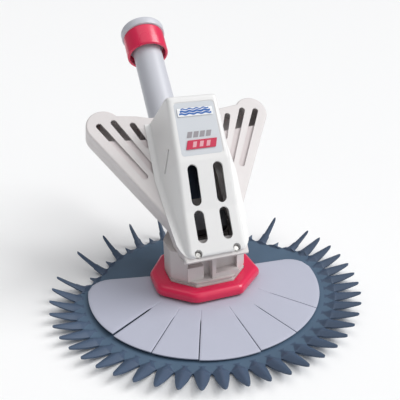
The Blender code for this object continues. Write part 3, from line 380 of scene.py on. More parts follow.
DISC_TIP_RADIUS = -DISC_LOW.y
DISC_TIP_HEIGHT = 0.0150
DISC_BORE = 0.0432
DISC_THICKNESS = 0.0024
DISC_HUB_TOP = 0.0098
DISC_WEB = ((DISC_BORE, DISC_HUB_TOP), (0.0600, DISC_HUB_TOP), (0.0740, DISC_THICKNESS),
            (0.1000, DISC_THICKNESS), (0.1250, DISC_THICKNESS), (0.1500, DISC_THICKNESS))
LEAF_ROOT, SPIKE_ROOT = 0.190, 0.158
ROOT_CHANGE = (60, 90)
RIDGE_START, RIDGE_RUN, RIDGE_HEIGHT = 0.176, 0.004, 0.0046
ROOT_RISE = 0.0014
SPIKE_FIRST, SPIKE_STEP, SPIKES, LEAVES = 6.5, 17.25, 5, 16
REAR_TIP_DRAW, REAR_DRAW_CHANGE = 0.038, (25, 105)
REAR_TIP_RISE, REAR_RISE_CHANGE = 0.022, (50, 110)
THORN_LENGTH, THORN_RISE = 0.011, 0.004
FIN_EDGES = {                   # share of the length, half width as a share of the half pitch
    "leaf": ((0.0, 1.0), (0.01, 0.95), (0.03, 0.90), (0.08, 0.84), (0.16, 0.785), (0.28, 0.74),
             (0.37, 0.67), (0.47, 0.595), (0.60, 0.49), (0.72, 0.39), (0.80, 0.325), (0.88, 0.25),
             (0.94, 0.18), (0.98, 0.10), (1.0, 0.0)),
    "spike": ((0.0, 1.0), (0.01, 0.86), (0.03, 0.74), (0.06, 0.65), (0.10, 0.58), (0.20, 0.52),
              (0.33, 0.48), (0.38, 0.36), (0.55, 0.29), (0.75, 0.225), (0.90, 0.165), (0.96, 0.12),
              (0.99, 0.06), (1.0, 0.0)),
    "thorn": ((0.0, 1.0), (0.03, 0.75), (0.10, 0.52), (0.20, 0.40), (0.30, 0.33), (0.50, 0.22),
              (0.70, 0.14), (0.90, 0.06), (1.0, 0.0)),
}
GROWTH = (0.25, 0.5, 0.75, 1.0)
HALF_COLUMNS = 6                # the inner three of these carry a fin's ridge


def fin_layout():
    """Every fin as (degrees from the rear, kind), once round: thorns and spikes behind, leaves in front."""
    spikes = [SPIKE_FIRST + SPIKE_STEP * k for k in range(SPIKES)]
    leaf_step = (180 - spikes[-1]) / LEAVES
    side = [(angle, "spike") for angle in spikes]
    side += [((a + b) / 2, "thorn") for a, b in zip(spikes, spikes[1:])]
    side += [(spikes[-1] + leaf_step * k, "leaf") for k in range(1, LEAVES)]
    other = [(-angle, kind) for angle, kind in side]
    return sorted(side + other + [(0, "thorn"), (180, "leaf")])


def root_radius(degrees):
    return SPIKE_ROOT + (LEAF_ROOT - SPIKE_ROOT) * smoothstep(*ROOT_CHANGE, abs(degrees))


def fin_tip(degrees, kind):
    """Radius and height of a fin's tip: the rear ones are drawn in and stand up."""
    if kind == "thorn":
        return root_radius(degrees) + THORN_LENGTH, DISC_THICKNESS + ROOT_RISE + THORN_RISE
    draw = REAR_TIP_DRAW * (1 - smoothstep(*REAR_DRAW_CHANGE, abs(degrees)))
    rise = REAR_TIP_RISE * (1 - smoothstep(*REAR_RISE_CHANGE, abs(degrees)))
    return DISC_TIP_RADIUS - draw, DISC_TIP_HEIGHT + rise


def fin_point(row, across, low, middle, high, kind):
    """Radius, degrees from the rear and height of one grid point; across runs from -1 to 1."""
    inner = min(abs(across) * 2, 1.0)
    if row < len(DISC_WEB):
        radius, height = DISC_WEB[row]
        share = ((high if across > 0 else low) - middle) * math.copysign(1, across)
        return radius, middle + across * share, height
    side = low if across < 0 else high
    ridge = RIDGE_HEIGHT if kind == "leaf" else RIDGE_HEIGHT * 0.6
    growing = row - len(DISC_WEB)
    if growing <= len(GROWTH):
        fold = 0.0 if growing == 0 else GROWTH[growing - 1]
        spread = inner * fold + (1 - fold) * max(0.0, abs(across) * 2 - 1)
        angle = middle + (side - middle) * (spread if fold else abs(across))
        start = min(RIDGE_START, root_radius(angle) - RIDGE_RUN)
        radius = start + (root_radius(angle) - start) * fold
        crest = ridge * fold * (1 - inner) ** 0.9
        return radius, angle, DISC_THICKNESS + ROOT_RISE * fold ** 1.5 + crest
    share, width = FIN_EDGES[kind][growing - len(GROWTH)]
    root = root_radius(middle)
    tip_radius, tip_height = fin_tip(middle, kind)
    root_height = DISC_THICKNESS + ROOT_RISE
    height = root_height + (tip_height - root_height) * share ** 1.2
    crest = ridge * (1 - share ** 1.6) * (1 - inner) ** 0.9
    return root + (tip_radius - root) * share, middle + (side - middle) * width * inner, height + crest


def make_fin(bm, layer, low, middle, high, kind):
    """One fin with its share of the web: a grid folded up along its middle."""
    rows = len(DISC_WEB) + len(GROWTH) + len(FIN_EDGES[kind])
    grid = bmesh.ops.create_grid(bm, x_segments=2 * HALF_COLUMNS, y_segments=rows - 1, size=1.0)
    inner_faces = []
    for face in {face for vert in grid["verts"] for face in vert.link_faces}:
        centre = face.calc_center_median()
        row = (centre.y + 1) / 2 * (rows - 1)
        growing = row > len(DISC_WEB)
        if (growing and abs(centre.x) < 0.5) or row > len(DISC_WEB) + len(GROWTH):
            inner_faces.append(face)
    # the fin bodies are marked here for painted shade in the rubber's finish
    for face in inner_faces:
        face[layer] = 1.0
    for vert in grid["verts"]:
        row = round((vert.co.y + 1) / 2 * (rows - 1))
        radius, degrees, height = fin_point(row, vert.co.x, low, middle, high, kind)
        turn = math.pi / 2 + math.radians(degrees)
        vert.co = (radius * math.cos(turn), radius * math.sin(turn), height)


def make_finned_disc():
    bm = bmesh.new()
    # mask of the fin bodies, which the rubber's finish darkens as painted shade
    layer = bm.faces.layers.float.new("fin_painted_shade")
    fins = fin_layout()
    for k, (middle, kind) in enumerate(fins):
        low = (fins[k - 1][0] - (360 if k == 0 else 0) + middle) / 2
        high = (fins[(k + 1) % len(fins)][0] + (360 if k == len(fins) - 1 else 0) + middle) / 2
        make_fin(bm, layer, low, middle, high, kind)
    bmesh.ops.remove_doubles(bm, verts=bm.verts[:], dist=2e-6)
    bmesh.ops.dissolve_degenerate(bm, dist=1e-6, edges=bm.edges[:])
    bmesh.ops.recalc_face_normals(bm, faces=bm.faces[:])
    made = bmesh.ops.extrude_face_region(bm, geom=bm.faces[:])
    moved = [item for item in made["geom"] if isinstance(item, bmesh.types.BMVert)]
    bmesh.ops.translate(bm, verts=moved, vec=(0, 0, -DISC_THICKNESS))
    bmesh.ops.recalc_face_normals(bm, faces=bm.faces[:])
    finished("rubber_finned_disc", bm, DISC_FRAME, SLATE, ["finned_disc"], body="disc",
             rounding=0.0004, smooth=50, segments=2)


# ---------------------------------------------------------------- skirt

SKIRT_KNEE = 0.082
SKIRT_BORE = 0.0425
SKIRT_TOP = SKIRT_BOX_HIGH.z
SKIRT_RIM = SKIRT_BOX_HIGH.x
SKIRT_RIM_TOP = 0.0064
SKIRT_WALL = 0.0018
SLIT_START = 0.103
SLIT_HALF = 0.0006
WIDE_SLIT = 2.2                 # the slit before the second petal stands open
SKIRT_CORNER = 0.030
FRONT_PETAL = 3
FRONT_PETAL_REACH = 0.0015      # the front petal is a little longer than the rest
PETALS = (                      # from and to degrees, lift of the rim, lift of its two side edges
    (-110, -62, 0.0020, 0.0, 0.0014),
    (-62, -41, 0.0010, 0.0, 0.0003),
    (-41, -21, 0.0006, 0.0003, -0.0002),
    (-21, 5, -0.0002, 0.0008, 0.0006),
    (5, 25, 0.0004, -0.0002, 0.0),
    (25, 46, 0.0004, 0.0, 0.0002),
    (46, 94, 0.0006, 0.0, 0.0),
)


def make_skirt():
    """Seven petals cut from one shallow cone, each sitting a little higher or lower than the next."""
    bm = bmesh.new()
    columns, rows = 18, 26
    last = len(PETALS) - 1
    for number, (start, end, rim_lift, start_lift, end_lift) in enumerate(PETALS):
        grid = bmesh.ops.create_grid(bm, x_segments=columns, y_segments=rows, size=1.0)
        for vert in grid["verts"]:
            across, out = (vert.co.x + 1) / 2, (vert.co.y + 1) / 2
            radius = SKIRT_BORE + (SKIRT_RIM - SKIRT_BORE) * out
            if number == FRONT_PETAL:
                radius += FRONT_PETAL_REACH * smoothstep(0.6, 1.0, out)
            opened = smoothstep(SLIT_START, SLIT_START + 0.004, radius)
            low, high = math.radians(start), math.radians(end)
            trim = SLIT_HALF / radius * opened
            first_gap = trim * (WIDE_SLIT if number == 1 else 1)
            low, high = low + (first_gap if number else 0), high - (trim if number < last else 0)
            if out > 1 - SKIRT_CORNER / (SKIRT_RIM - SKIRT_BORE):
                run = (radius - (SKIRT_RIM - SKIRT_CORNER)) / SKIRT_CORNER
                back = SKIRT_CORNER * (1 - math.sqrt(max(0.0, 1 - run * run))) / radius
                low += 0 if number else back
                high -= back if number == last else 0
            turn = -math.pi / 2 + low + (high - low) * across
            fall = max(0.0, (radius - SKIRT_KNEE) / (SKIRT_RIM - SKIRT_KNEE))
            height = SKIRT_TOP - (SKIRT_TOP - SKIRT_RIM_TOP) * fall ** 1.05
            height += (rim_lift * fall ** 1.5 + start_lift * (1 - across) ** 3 * opened
                       + end_lift * across ** 3 * opened)
            vert.co = (radius * math.cos(turn), radius * math.sin(turn), height)
    bmesh.ops.remove_doubles(bm, verts=bm.verts[:], dist=2e-6)
    bmesh.ops.recalc_face_normals(bm, faces=bm.faces[:])
    if sum(face.normal.z for face in bm.faces) < 0:
        bmesh.ops.reverse_faces(bm, faces=bm.faces[:])
    skirt = finished("cut_skirt", bm, DISC_FRAME, LAVENDER, ["skirt"], body="disc",
                     smooth=40)
    wall = skirt.modifiers.new("wall", "SOLIDIFY")
    wall.thickness = SKIRT_WALL
    wall.offset = -1
    edge = skirt.modifiers.new("rim_edge", "BEVEL")
    edge.width = 0.0004
    edge.segments = 2
    edge.limit_method = "ANGLE"
    edge.angle_limit = math.radians(50)


# ---------------------------------------------------------------- housing and bumper strap

HOUSING_LOW, HOUSING_TOP = HOUSING_BOX_LOW.z, 0.081
HOUSING_HALF = 0.0553
HOUSING_FRONT = 0.0513
HOUSING_CHAMFER = 0.0285
HOUSING_WALL = 0.003
LEDGE_REACH = 0.0585
LEDGE_HALF = 0.046
LEDGE_HEIGHT = 0.005
POCKET_HALF, POCKET_BACK, POCKET_LOW, POCKET_HIGH = 0.036, 0.034, 0.040, 0.0735
RIB_HALF = 0.0028
BAND_TOP, RAISED_TOP = 0.0470, 0.0600        # low band right of the rib, taller block left of it
GROOVE_LOW, GROOVE_HIGH = 0.0348, 0.0390     # over the strap, round the front only
GROOVE_DEPTH = 0.0022
NECK_SCREW = (0.036, -0.024)
SOCKET_RADIUS, SOCKET_START, SOCKET_END = 0.038, 0.030, 0.096
CASSETTE_BORE = 0.0341
V_PLANE = -FRONT_SHELL_LOW.y
V_REAR = 0.0500


def housing_plan():
    half = [(HOUSING_HALF - HOUSING_CHAMFER, -HOUSING_FRONT),
            (HOUSING_HALF, -HOUSING_FRONT + HOUSING_CHAMFER),
            (HOUSING_HALF, 0.012), (HOUSING_HALF - 0.018, 0.046)]
    return half + [(-x, y) for x, y in reversed(half)]


def make_housing():
    """The octagonal foot: open below, with the cover's ledge, the front pocket and the pipe's socket."""
    plan = housing_plan()
    body = prism(rounded(plan, 0.0045), HOUSING_LOW, HOUSING_TOP, upright)
    chamber = shaped(
        prism(inset(plan, HOUSING_WALL), HOUSING_LOW - 0.005, HOUSING_TOP - HOUSING_WALL, upright),
        ("cut", block((-POCKET_HALF - HOUSING_WALL, -0.070, POCKET_LOW - HOUSING_WALL),
                      (POCKET_HALF + HOUSING_WALL, -POCKET_BACK + HOUSING_WALL,
                       POCKET_HIGH + HOUSING_WALL))))
    socket = rod(SOCKET_RADIUS, SOCKET_START, SOCKET_END, sides=96)
    bore = rod(CASSETTE_BORE, SOCKET_START - 0.002, SOCKET_END + 0.01, sides=96)
    into_disc = DISC_FRAME.inverted() @ PIPE_FRAME
    for tool in (socket, bore):
        bmesh.ops.transform(tool, matrix=into_disc, verts=tool.verts[:])
    pocket = shaped(
        block((-POCKET_HALF, -0.075, POCKET_LOW), (POCKET_HALF, -POCKET_BACK, POCKET_HIGH)),
        ("cut", block((-RIB_HALF, -HOUSING_FRONT + 0.003, POCKET_LOW - 0.001),
                      (RIB_HALF, -POCKET_BACK + 0.001, POCKET_HIGH + 0.001))))
    raised = block((-POCKET_HALF - 0.001, -0.0440, POCKET_LOW - 0.001),
                   (-0.0140, -POCKET_BACK + 0.001, RAISED_TOP))
    band = block((0.0020, -HOUSING_FRONT + 0.004, POCKET_LOW - 0.001),
                 (POCKET_HALF + 0.001, -POCKET_BACK + 0.001, BAND_TOP))
    groove = shaped(prism(inset(plan, -0.002), GROOVE_LOW, GROOVE_HIGH, upright),
                    ("cut", prism(inset(plan, GROOVE_DEPTH), 0.0300, 0.0450, upright)),
                    ("cut", block((-0.08, -0.018, 0.0300), (0.08, 0.08, 0.0450))))
    notches = [("cut", block((side * 0.030 - 0.0035, -0.080, HOUSING_TOP - 0.012),
                             (side * 0.030 + 0.0035, -0.046, HOUSING_TOP - LEDGE_HEIGHT - 0.0008)))
               for side in (-1, 1)]
    steps = [("join", block((-LEDGE_HALF, -LEDGE_REACH, HOUSING_TOP - LEDGE_HEIGHT),
                            (LEDGE_HALF, -0.030, HOUSING_TOP))),
             ("join", socket), ("cut", chamber), ("cut", bore), ("cut", pocket), ("join", raised),
             ("join", band), ("cut", groove),
             *notches]
    made = shaped(body, *steps)
    finished("octagonal_housing", made, DISC_FRAME, BASE, ["lower_housing"],
             rounding=0.0009)


STRAP_LOW, STRAP_HIGH = STRAP_BOX_LOW.z, STRAP_BOX_HIGH.z
STRAP_CLEARANCE = 0.0007
STRAP_WIDTH = 0.0165
STRAP_SIDE_EXTRA = 0.0045
STRAP_CROWN, STRAP_HEEL = 0.0080, 0.0045    # roundings above and below


def make_bumper_strap():
    """A C-shaped strap, rounded above and below, fuller at its side corners and open at the back."""
    plan = housing_plan()
    count = len(plan)
    order = [(k + count // 2) % count for k in range(count)]
    radii = [0.004, 0.014, 0.020, 0.022, 0.010, 0.007, 0.012, 0.004] + [0.0015] * count
    inner = inset(plan, -STRAP_CLEARANCE)

    def section(drawn, height):
        outer = inset(plan, drawn - STRAP_CLEARANCE - STRAP_WIDTH)
        outer = [(x + math.copysign(STRAP_SIDE_EXTRA, x) if abs(x) > HOUSING_HALF else x, y)
                 for x, y in outer]
        outline = [outer[k] for k in order] + [inner[k] for k in reversed(order)]
        return [(x, y, height) for x, y in rounded(outline, radii, 7)]

    crown, heel = STRAP_CROWN, STRAP_HEEL
    turns = [math.pi / 2 * k / 6 for k in range(7)]
    rings = [section(heel * (1 - math.sin(t)), STRAP_LOW + heel * (1 - math.cos(t))) for t in turns]
    rings += [section(crown * (1 - math.cos(t)), STRAP_HIGH - crown * (1 - math.sin(t))) for t in turns]
    bm = bridged(rings)
    finished("crimson_bumper", bm, DISC_FRAME, CRIMSON, ["bumper_strap"],
             rounding=0.0008)


# ---------------------------------------------------------------- V body

V_WALL = 0.0025
V_LOBE = (0.1125, 0.2120)
V_LOBE_RADIUS = 0.0255
V_NECK = (0.0495, 0.054)
V_FOOT = 0.0455
V_TOP = 0.2190
V_PARTING = 0.0705
V_FLOOR = 0.0813
CHANNEL_RADIUS, CHANNEL_WALL, CHANNEL_START = 0.038, 0.0028, 0.0985
WING_SLOTS = (
    ((0.1195, 0.2125), (0.0720, 0.1270)),
    ((0.0985, 0.2160), (0.0560, 0.1320)),
    ((0.0725, 0.2090), (0.0580, 0.1740)),
)
WING_SLOT_HALF = 0.0045
OPENING = (0.030, 0.024, 0.200)
BODY_SCREWS = ((0.110, 0.2285), (0.055, 0.2070), (0.043, 0.0620))
COVER_SCREW = (0.027, 0.0044)


def v_plan(round_steps=24):
    """Front outline of the V, anticlockwise: neck, straight edge, rounded wing end, notch, top edge."""
    lobe, neck = Vector(V_LOBE), Vector(V_NECK)
    towards = lobe - neck
    edge_angle = math.atan2(towards.y, towards.x) - math.asin(V_LOBE_RADIUS / towards.length)
    half = [(V_FOOT - 0.002, -0.020), (V_FOOT, 0.006), tuple(neck)]
    half += arc(V_LOBE, V_LOBE_RADIUS, edge_angle - math.pi / 2, math.radians(142), round_steps)
    half += [(0.064, V_TOP + 0.005), (0.046, V_TOP)]
    return half + [(-x, y) for x, y in reversed(half)]


def below(height):
    """Everything under a height in the disc frame, as a tool in the pipe frame."""
    bm = block((-0.2, -0.2, -0.05), (0.2, 0.2, height))
    into_pipe = PIPE_FRAME.inverted() @ DISC_FRAME
    bmesh.ops.transform(bm, matrix=into_pipe, verts=bm.verts[:])
    return bm


def upright_rod(radius, low, high, at):
    bm = rod(radius, low, high, at, sides=24)
    into_pipe = PIPE_FRAME.inverted() @ DISC_FRAME
    bmesh.ops.transform(bm, matrix=into_pipe, verts=bm.verts[:])
    return bm


def channel_plan(radius, reach):
    return arc((0, 0), radius, math.pi, math.tau, 40) + [(radius, reach), (-radius, reach)]


def at_depth(out):
    def chosen(edge):
        return all(abs(vert.co.y + out) < 1e-6 for vert in edge.verts)
    return chosen


def make_back_shell():
    """The rear half of the V, with the channel that the pipe runs in."""
    plan = v_plan()
    shell = softened(prism(plan, V_REAR, V_PARTING - GAP, outward), 0.0035, 4, at_depth(V_REAR))
    hollow = shaped(prism(inset(plan, V_WALL), V_REAR + V_WALL, V_PARTING + 0.01, outward),
                    ("cut", below(V_FLOOR + V_WALL)))
    low = CHANNEL_RADIUS + 2 * GAP
    reach = V_REAR + V_WALL / 2
    bridge = [(-CHANNEL_RADIUS, low), (CHANNEL_RADIUS, low), (CHANNEL_RADIUS, reach),
              (-CHANNEL_RADIUS, reach)]
    under = CHANNEL_RADIUS - CHANNEL_WALL
    recess = [(-under, low + CHANNEL_WALL), (under, low + CHANNEL_WALL), (under, V_REAR + 0.01),
              (-under, V_REAR + 0.01)]
    steps = [
        ("join", prism(channel_plan(CHANNEL_RADIUS, reach), CHANNEL_START, V_TOP, up_pipe)),
        ("join", prism(bridge, 0.040, CHANNEL_START + CHANNEL_WALL / 2, up_pipe)),
        ("cut", hollow),
        ("cut", prism(channel_plan(under, V_REAR + 0.01), CHANNEL_START + CHANNEL_WALL,
                      V_TOP - CHANNEL_WALL, up_pipe)),
        ("cut", shaped(prism(recess, 0.030, CHANNEL_START + CHANNEL_WALL + 0.001, up_pipe),
                       ("cut", below(V_FLOOR + V_WALL)))),
        ("cut", rod(CASSETTE_BORE, CHANNEL_START - 0.01, CHANNEL_START + 0.01, sides=96)),
        ("cut", rod(TUBE_RADIUS + 0.0004, V_TOP - 0.01, V_TOP + 0.01, sides=96)),
        ("cut", below(V_FLOOR)),
    ]
    for across, along in [(side * a, b) for a, b in BODY_SCREWS for side in (-1, 1)]:
        steps.append(("cut", prism(circle((across, along), 0.0019, 16), V_REAR - 0.01,
                                   V_REAR + 0.01, outward)))
    for side in (-1, 1):
        steps.append(("cut", upright_rod(0.0024, V_FLOOR - 0.01, V_FLOOR + 0.01,
                                         (side * NECK_SCREW[0], NECK_SCREW[1]))))
    finished("v_back_shell", shaped(shell, *steps), PIPE_FRAME, SHELL,
             ["body_back_shell"], rounding=0.0006, segments=2)


def make_front_shell():
    """The front half of the V, with the wings' slots, the opening and the screw bosses."""
    plan = v_plan()
    shell = softened(prism(plan, V_PARTING, V_PLANE, outward), 0.0028, 4, at_depth(V_PLANE))
    hollow = shaped(prism(inset(plan, V_WALL), V_PARTING - 0.01, V_PLANE - V_WALL, outward),
                    ("cut", below(V_FLOOR + V_WALL)))
    half, low, high = OPENING
    window = [(-half, low), (half, low), (half, high), (-half, high)]
    steps = [("cut", hollow)]
    for across, along in [(side * a, b) for a, b in BODY_SCREWS for side in (-1, 1)]:
        steps.append(("join", prism(circle((across, along), 0.0045, 20), V_REAR + V_WALL + GAP,
                                    V_PLANE - V_WALL / 2, outward)))
        steps.append(("cut", prism(circle((across, along), 0.0017, 16), V_REAR, V_REAR + 0.031,
                                   outward)))
    steps.append(("cut", prism(rounded(window, 0.004), V_PLANE - 0.01, V_PLANE + 0.01, outward)))
    for side in (-1, 1):
        for start, end in WING_SLOTS:
            slot = stadium((side * start[0], start[1]), (side * end[0], end[1]), WING_SLOT_HALF)
            steps.append(("cut", prism(slot, V_PLANE - 0.006, V_PLANE + 0.006, outward)))
        steps.append(("cut", prism(circle((side * COVER_SCREW[0], COVER_SCREW[1]), 0.0023, 20),
                                   V_PLANE - 0.03, V_PLANE + 0.01, outward)))
    steps.append(("cut", below(V_FLOOR)))
    finished("v_front_shell", shaped(shell, *steps), PIPE_FRAME, SHELL,
             ["body_front_shell"], rounding=0.0007, segments=3)


# ---------------------------------------------------------------- front cover

COVER_WALL = 0.0025
COVER_STATIONS = (              # along, out, half width in front, half width at the V
    (COVER_LOW.z, 0.0930, 0.0386, 0.0415),
    (0.0580, 0.1105, 0.0380, 0.0470),
    (0.1180, 0.1360, 0.0370, 0.0520),
    (COVER_HIGH.z, -COVER_LOW.y, 0.0346, 0.0480),
)
COVER_FILLET = 0.0070           # where the sides run out into the V's face
COVER_ROUND = 0.0075            # along the front's two long edges
COVER_TOP_ROUND = 0.0080
COVER_FOOT_ROUND = 0.0080       # the lower corners, seen from the front
COVER_SLOTS = ((0.0235, 0.0515), (0.0705, 0.1075))
COVER_SLOT_ACROSS, COVER_SLOT_HALF = 0.0177, 0.0069
COVER_SOLID_FOOT = 0.013


def cover_at(along):
    """Out, front half width and base half width of the cover this far along."""
    for first, second in zip(COVER_STATIONS, COVER_STATIONS[1:]):
        if along <= second[0] + 1e-9:
            share = (along - first[0]) / (second[0] - first[0])
            return [a + (b - a) * share for a, b in zip(first[1:], second[1:])]
    return list(COVER_STATIONS[-1][1:])


def cover_section(along, shrink=0.0):
    """One ring round the cover: fillet at the V, sloping side, rounded edge, flat front."""
    out, front, base = cover_at(along)
    top = COVER_HIGH.z - along
    if top < COVER_TOP_ROUND:
        out -= COVER_TOP_ROUND - math.sqrt(max(0.0, COVER_TOP_ROUND ** 2 - (COVER_TOP_ROUND - top) ** 2))
    foot = along - COVER_LOW.z
    if foot < 0.002:
        out -= (0.002 - foot) * 0.5
    if foot < COVER_FOOT_ROUND:
        drawn = COVER_FOOT_ROUND - math.sqrt(COVER_FOOT_ROUND ** 2 - (COVER_FOOT_ROUND - foot) ** 2)
        front, base = front - drawn, base - drawn
    back = V_PLANE + GAP
    if shrink:
        spread = (base - front) / (out - back)
        base, back = base + spread * 0.02, back - 0.02
        corners = [(base - shrink, back), (front - shrink, out - shrink)]
        half = [corners[0], *rounded([corners[0], corners[1], (0, out - shrink)], 0.005, 5)[6:12]]
    else:
        fillet = COVER_FILLET * smoothstep(0.0, 0.020, foot) + 0.0010
        brim = back + 0.0009
        low = rounded([(base + fillet, brim), (base, brim), (front, out), (0, out)],
                      [0, fillet * 1.4, COVER_ROUND, 0], 7)
        half = [(base + fillet, back), *low[:-1]]
    whole = half + [(-x, w) for x, w in reversed(half)]
    return [(x, -w, along) for x, w in whole]


def cover_run(low, high, steps):
    return [low + (high - low) * k / steps for k in range(steps + 1)]


def make_front_cover():
    """The slotted cover, with its screw notches and the sunken label panel."""
    top = COVER_HIGH.z
    stops = [COVER_LOW.z + COVER_FOOT_ROUND * (1 - math.cos(k / 7 * math.pi / 2)) for k in range(8)]
    stops += cover_run(COVER_LOW.z + 0.012, 0.054, 4) + cover_run(0.0565, 0.0600, 3)
    stops += cover_run(0.066, 0.112, 5) + cover_run(0.1160, 0.1200, 3)
    stops += cover_run(0.126, top - COVER_TOP_ROUND, 6)
    stops += [top - COVER_TOP_ROUND * (1 - math.sin(k / 7 * math.pi / 2)) for k in range(1, 8)]
    outside = bridged([cover_section(along) for along in stops])
    inside = bridged([cover_section(along, COVER_WALL)
                      for along in (COVER_SOLID_FOOT, 0.058, 0.118, 0.190, top - 0.0092)])
    steps = [("cut", inside)]
    for side in (-1, 1):
        across = side * COVER_SLOT_ACROSS
        for low, high in COVER_SLOTS:
            steps.append(("cut", prism(stadium((across, low), (across, high), COVER_SLOT_HALF),
                                       V_PLANE + 0.006, 0.17, outward)))
        recess = circle((side * COVER_SCREW[0], COVER_SCREW[1]), 0.0053, 28)
        steps.append(("cut", prism(recess, V_PLANE - 0.01, 0.12, outward)))
        slot = block((side * 0.045 - 0.016, 0.011, 0.179), (side * 0.045 + 0.016, 0.0145, 0.213))
        bmesh.ops.transform(slot, matrix=PIPE_FRAME.inverted() @ DISC_FRAME, verts=slot.verts[:])
        steps.append(("cut", slot))
    low, high = Vector(COVER_STATIONS[2][:2]), Vector(COVER_STATIONS[3][:2])
    run = (high - low).length
    panel = [(-0.0300, 0.0060), (0.0300, 0.0060), (0.0290, run - 0.0115), (-0.0290, run - 0.0115)]
    sunken = prism(rounded(panel, 0.006, 8), -PANEL_DEPTH, 0.01, outward)
    bmesh.ops.transform(sunken, matrix=COVER_FACE, verts=sunken.verts[:])
    steps.append(("cut", sunken))
    finished("slotted_front_cover", shaped(outside, *steps), PIPE_FRAME, COVER,
             ["front_cover"], rounding=0.0004, smooth=32)


PANEL_DEPTH = 0.0006
face_low, face_high = Vector(COVER_STATIONS[2][:2]), Vector(COVER_STATIONS[3][:2])
face_slope = math.atan2(face_high.y - face_low.y, face_high.x - face_low.x)
COVER_FACE = Matrix.Translation((0, -face_low.y, face_low.x)) @ Matrix.Rotation(face_slope, 4, "X")

# ---------------------------------------------------------------- plates on the cover

PLATE_RISE = 0.0008


def on_face(name, outline, low, high, look, stands_for=()):
    bm = prism(outline, low, high, outward)
    return finished(name, bm, PIPE_FRAME @ COVER_FACE, look, stands_for)


def ripple(width, height, centre, thickness, waves):
    """A flat wavy stripe."""
    steps = 40
    top, bottom = [], []
    for k in range(steps + 1):
        across = width * (k / steps - 0.5)
        lift = height * math.sin(waves * math.tau * k / steps)
        bottom.append((across, centre + lift - thickness / 2))
        top.append((across, centre + lift + thickness / 2))
    return bottom + top[::-1]


def make_plates():
    """Blank title film with three ripples, a blank badge with stripes, and four slanted bars."""
    panel = [(-0.0288, 0.0072), (0.0288, 0.0072), (0.0278, 0.0795), (-0.0278, 0.0795)]
    on_face("panel_film", rounded(panel, 0.005, 8), 0.00005 - PANEL_DEPTH, 0.00015 - PANEL_DEPTH, PANEL)
    title = [(-0.0245, 0.0605), (0.0245, 0.0605), (0.0245, 0.0715), (-0.0245, 0.0715)]
    badge = [(-0.0215, 0.0155), (0.0195, 0.0155), (0.0235, 0.0275), (-0.0175, 0.0275)]
    on_face("title_film", rounded(title, 0.0008, 3), GAP - PANEL_DEPTH, PLATE_RISE, PRINT_WHITE,
            ["title_plate"])
    for k, (centre, thickness) in enumerate(((0.0634, 0.0024), (0.0668, 0.0028), (0.0700, 0.0016))):
        on_face(f"ripple_stripe_{k}", ripple(0.045 - 0.003 * k, 0.0007, centre, thickness, 4),
                PLATE_RISE, PLATE_RISE + 0.00015, PRINT_BLUE)
    on_face("badge_film", rounded(badge, 0.0006, 3), GAP - PANEL_DEPTH, PLATE_RISE, PRINT_RED,
            ["badge_plate"])
    for k in range(3):
        at = -0.0125 + 0.0095 * k
        stripe = [(at, 0.0178), (at + 0.0050, 0.0178), (at + 0.0075, 0.0252), (at + 0.0025, 0.0252)]
        on_face(f"badge_stripe_{k}", stripe, PLATE_RISE, PLATE_RISE + 0.00015, PRINT_PINK)
    for k in range(4):
        at = -0.0180 + 0.0088 * k
        bar = [(at, 0.0312), (at + 0.0068, 0.0312), (at + 0.0096, 0.0392), (at + 0.0028, 0.0392)]
        on_face(f"slanted_bar_{k}", bar, GAP - PANEL_DEPTH, 0.00012 - PANEL_DEPTH + GAP, PRINT_GREY)


# ---------------------------------------------------------------- pipe, nut and hose cuff

TUBE_RADIUS = 0.025
TUBE_BORE = 0.0222


def make_pipe_pieces():
    """The extension pipe, the hand nut round its end and the swivelling hose cuff."""
    low, high = TUBE_LOW.z, TUBE_HIGH.z
    collar = TUBE_HIGH.x
    finished("grey_extension_pipe", turned([
        (TUBE_BORE, low), (TUBE_RADIUS, low), (TUBE_RADIUS, high - 0.0065), (collar - 0.0006, high - 0.0040),
        (collar, high - 0.0034), (collar, high - 0.0006), (collar - 0.0006, high), (TUBE_BORE, high)]),
        PIPE_FRAME, PIPE, ["extension_pipe"])
    start, end, radius = NUT_LOW.z, NUT_HIGH.z, NUT_HIGH.x
    lip = end - 0.0116
    thread, neck = 0.0312, 0.0276
    skin = arc((radius - 0.0022, start + 0.0022), 0.0022, -math.pi / 2, 0, 6)
    skin += [(radius, end - 0.004)]
    skin += arc((radius - 0.0016, end - 0.0016), 0.0016, 0, math.pi / 2, 5)
    nut = turned([(thread + 0.0010, start), *skin, (neck, end), (neck, lip), (thread, lip),
                  (thread, start + 0.0012)])
    finished("crimson_hand_nut", nut, PIPE_FRAME, CRIMSON, ["hand_nut"],
             body="nut", smooth=35)
    cuff_low, cuff_end, cuff_radius = CUFF_LOW.z, CUFF_HIGH.z, CUFF_HIGH.x
    flange_end = cuff_low + 0.0055
    head = end + GAP
    bore, neck_radius = 0.0252, 0.0272
    floor = cuff_end - 0.0215
    crown = arc((cuff_radius - 0.0045, cuff_end - 0.0045), 0.0045, 0, math.pi / 2, 8)
    cuff = turned([
        (TUBE_BORE, cuff_low), (collar, cuff_low), (collar, flange_end), (neck_radius, flange_end),
        (neck_radius, head), (cuff_radius - 0.0012, head), (cuff_radius - 0.0003, head + 0.0006),
        (cuff_radius, head + 0.0018), *crown, (bore + 0.0012, cuff_end), (bore, cuff_end - 0.0012),
        (bore, floor), (TUBE_BORE, floor)])
    finished("grey_hose_cuff", cuff, PIPE_FRAME, PIPE, ["hose_cuff"],
             body="hose_swivel", smooth=35)


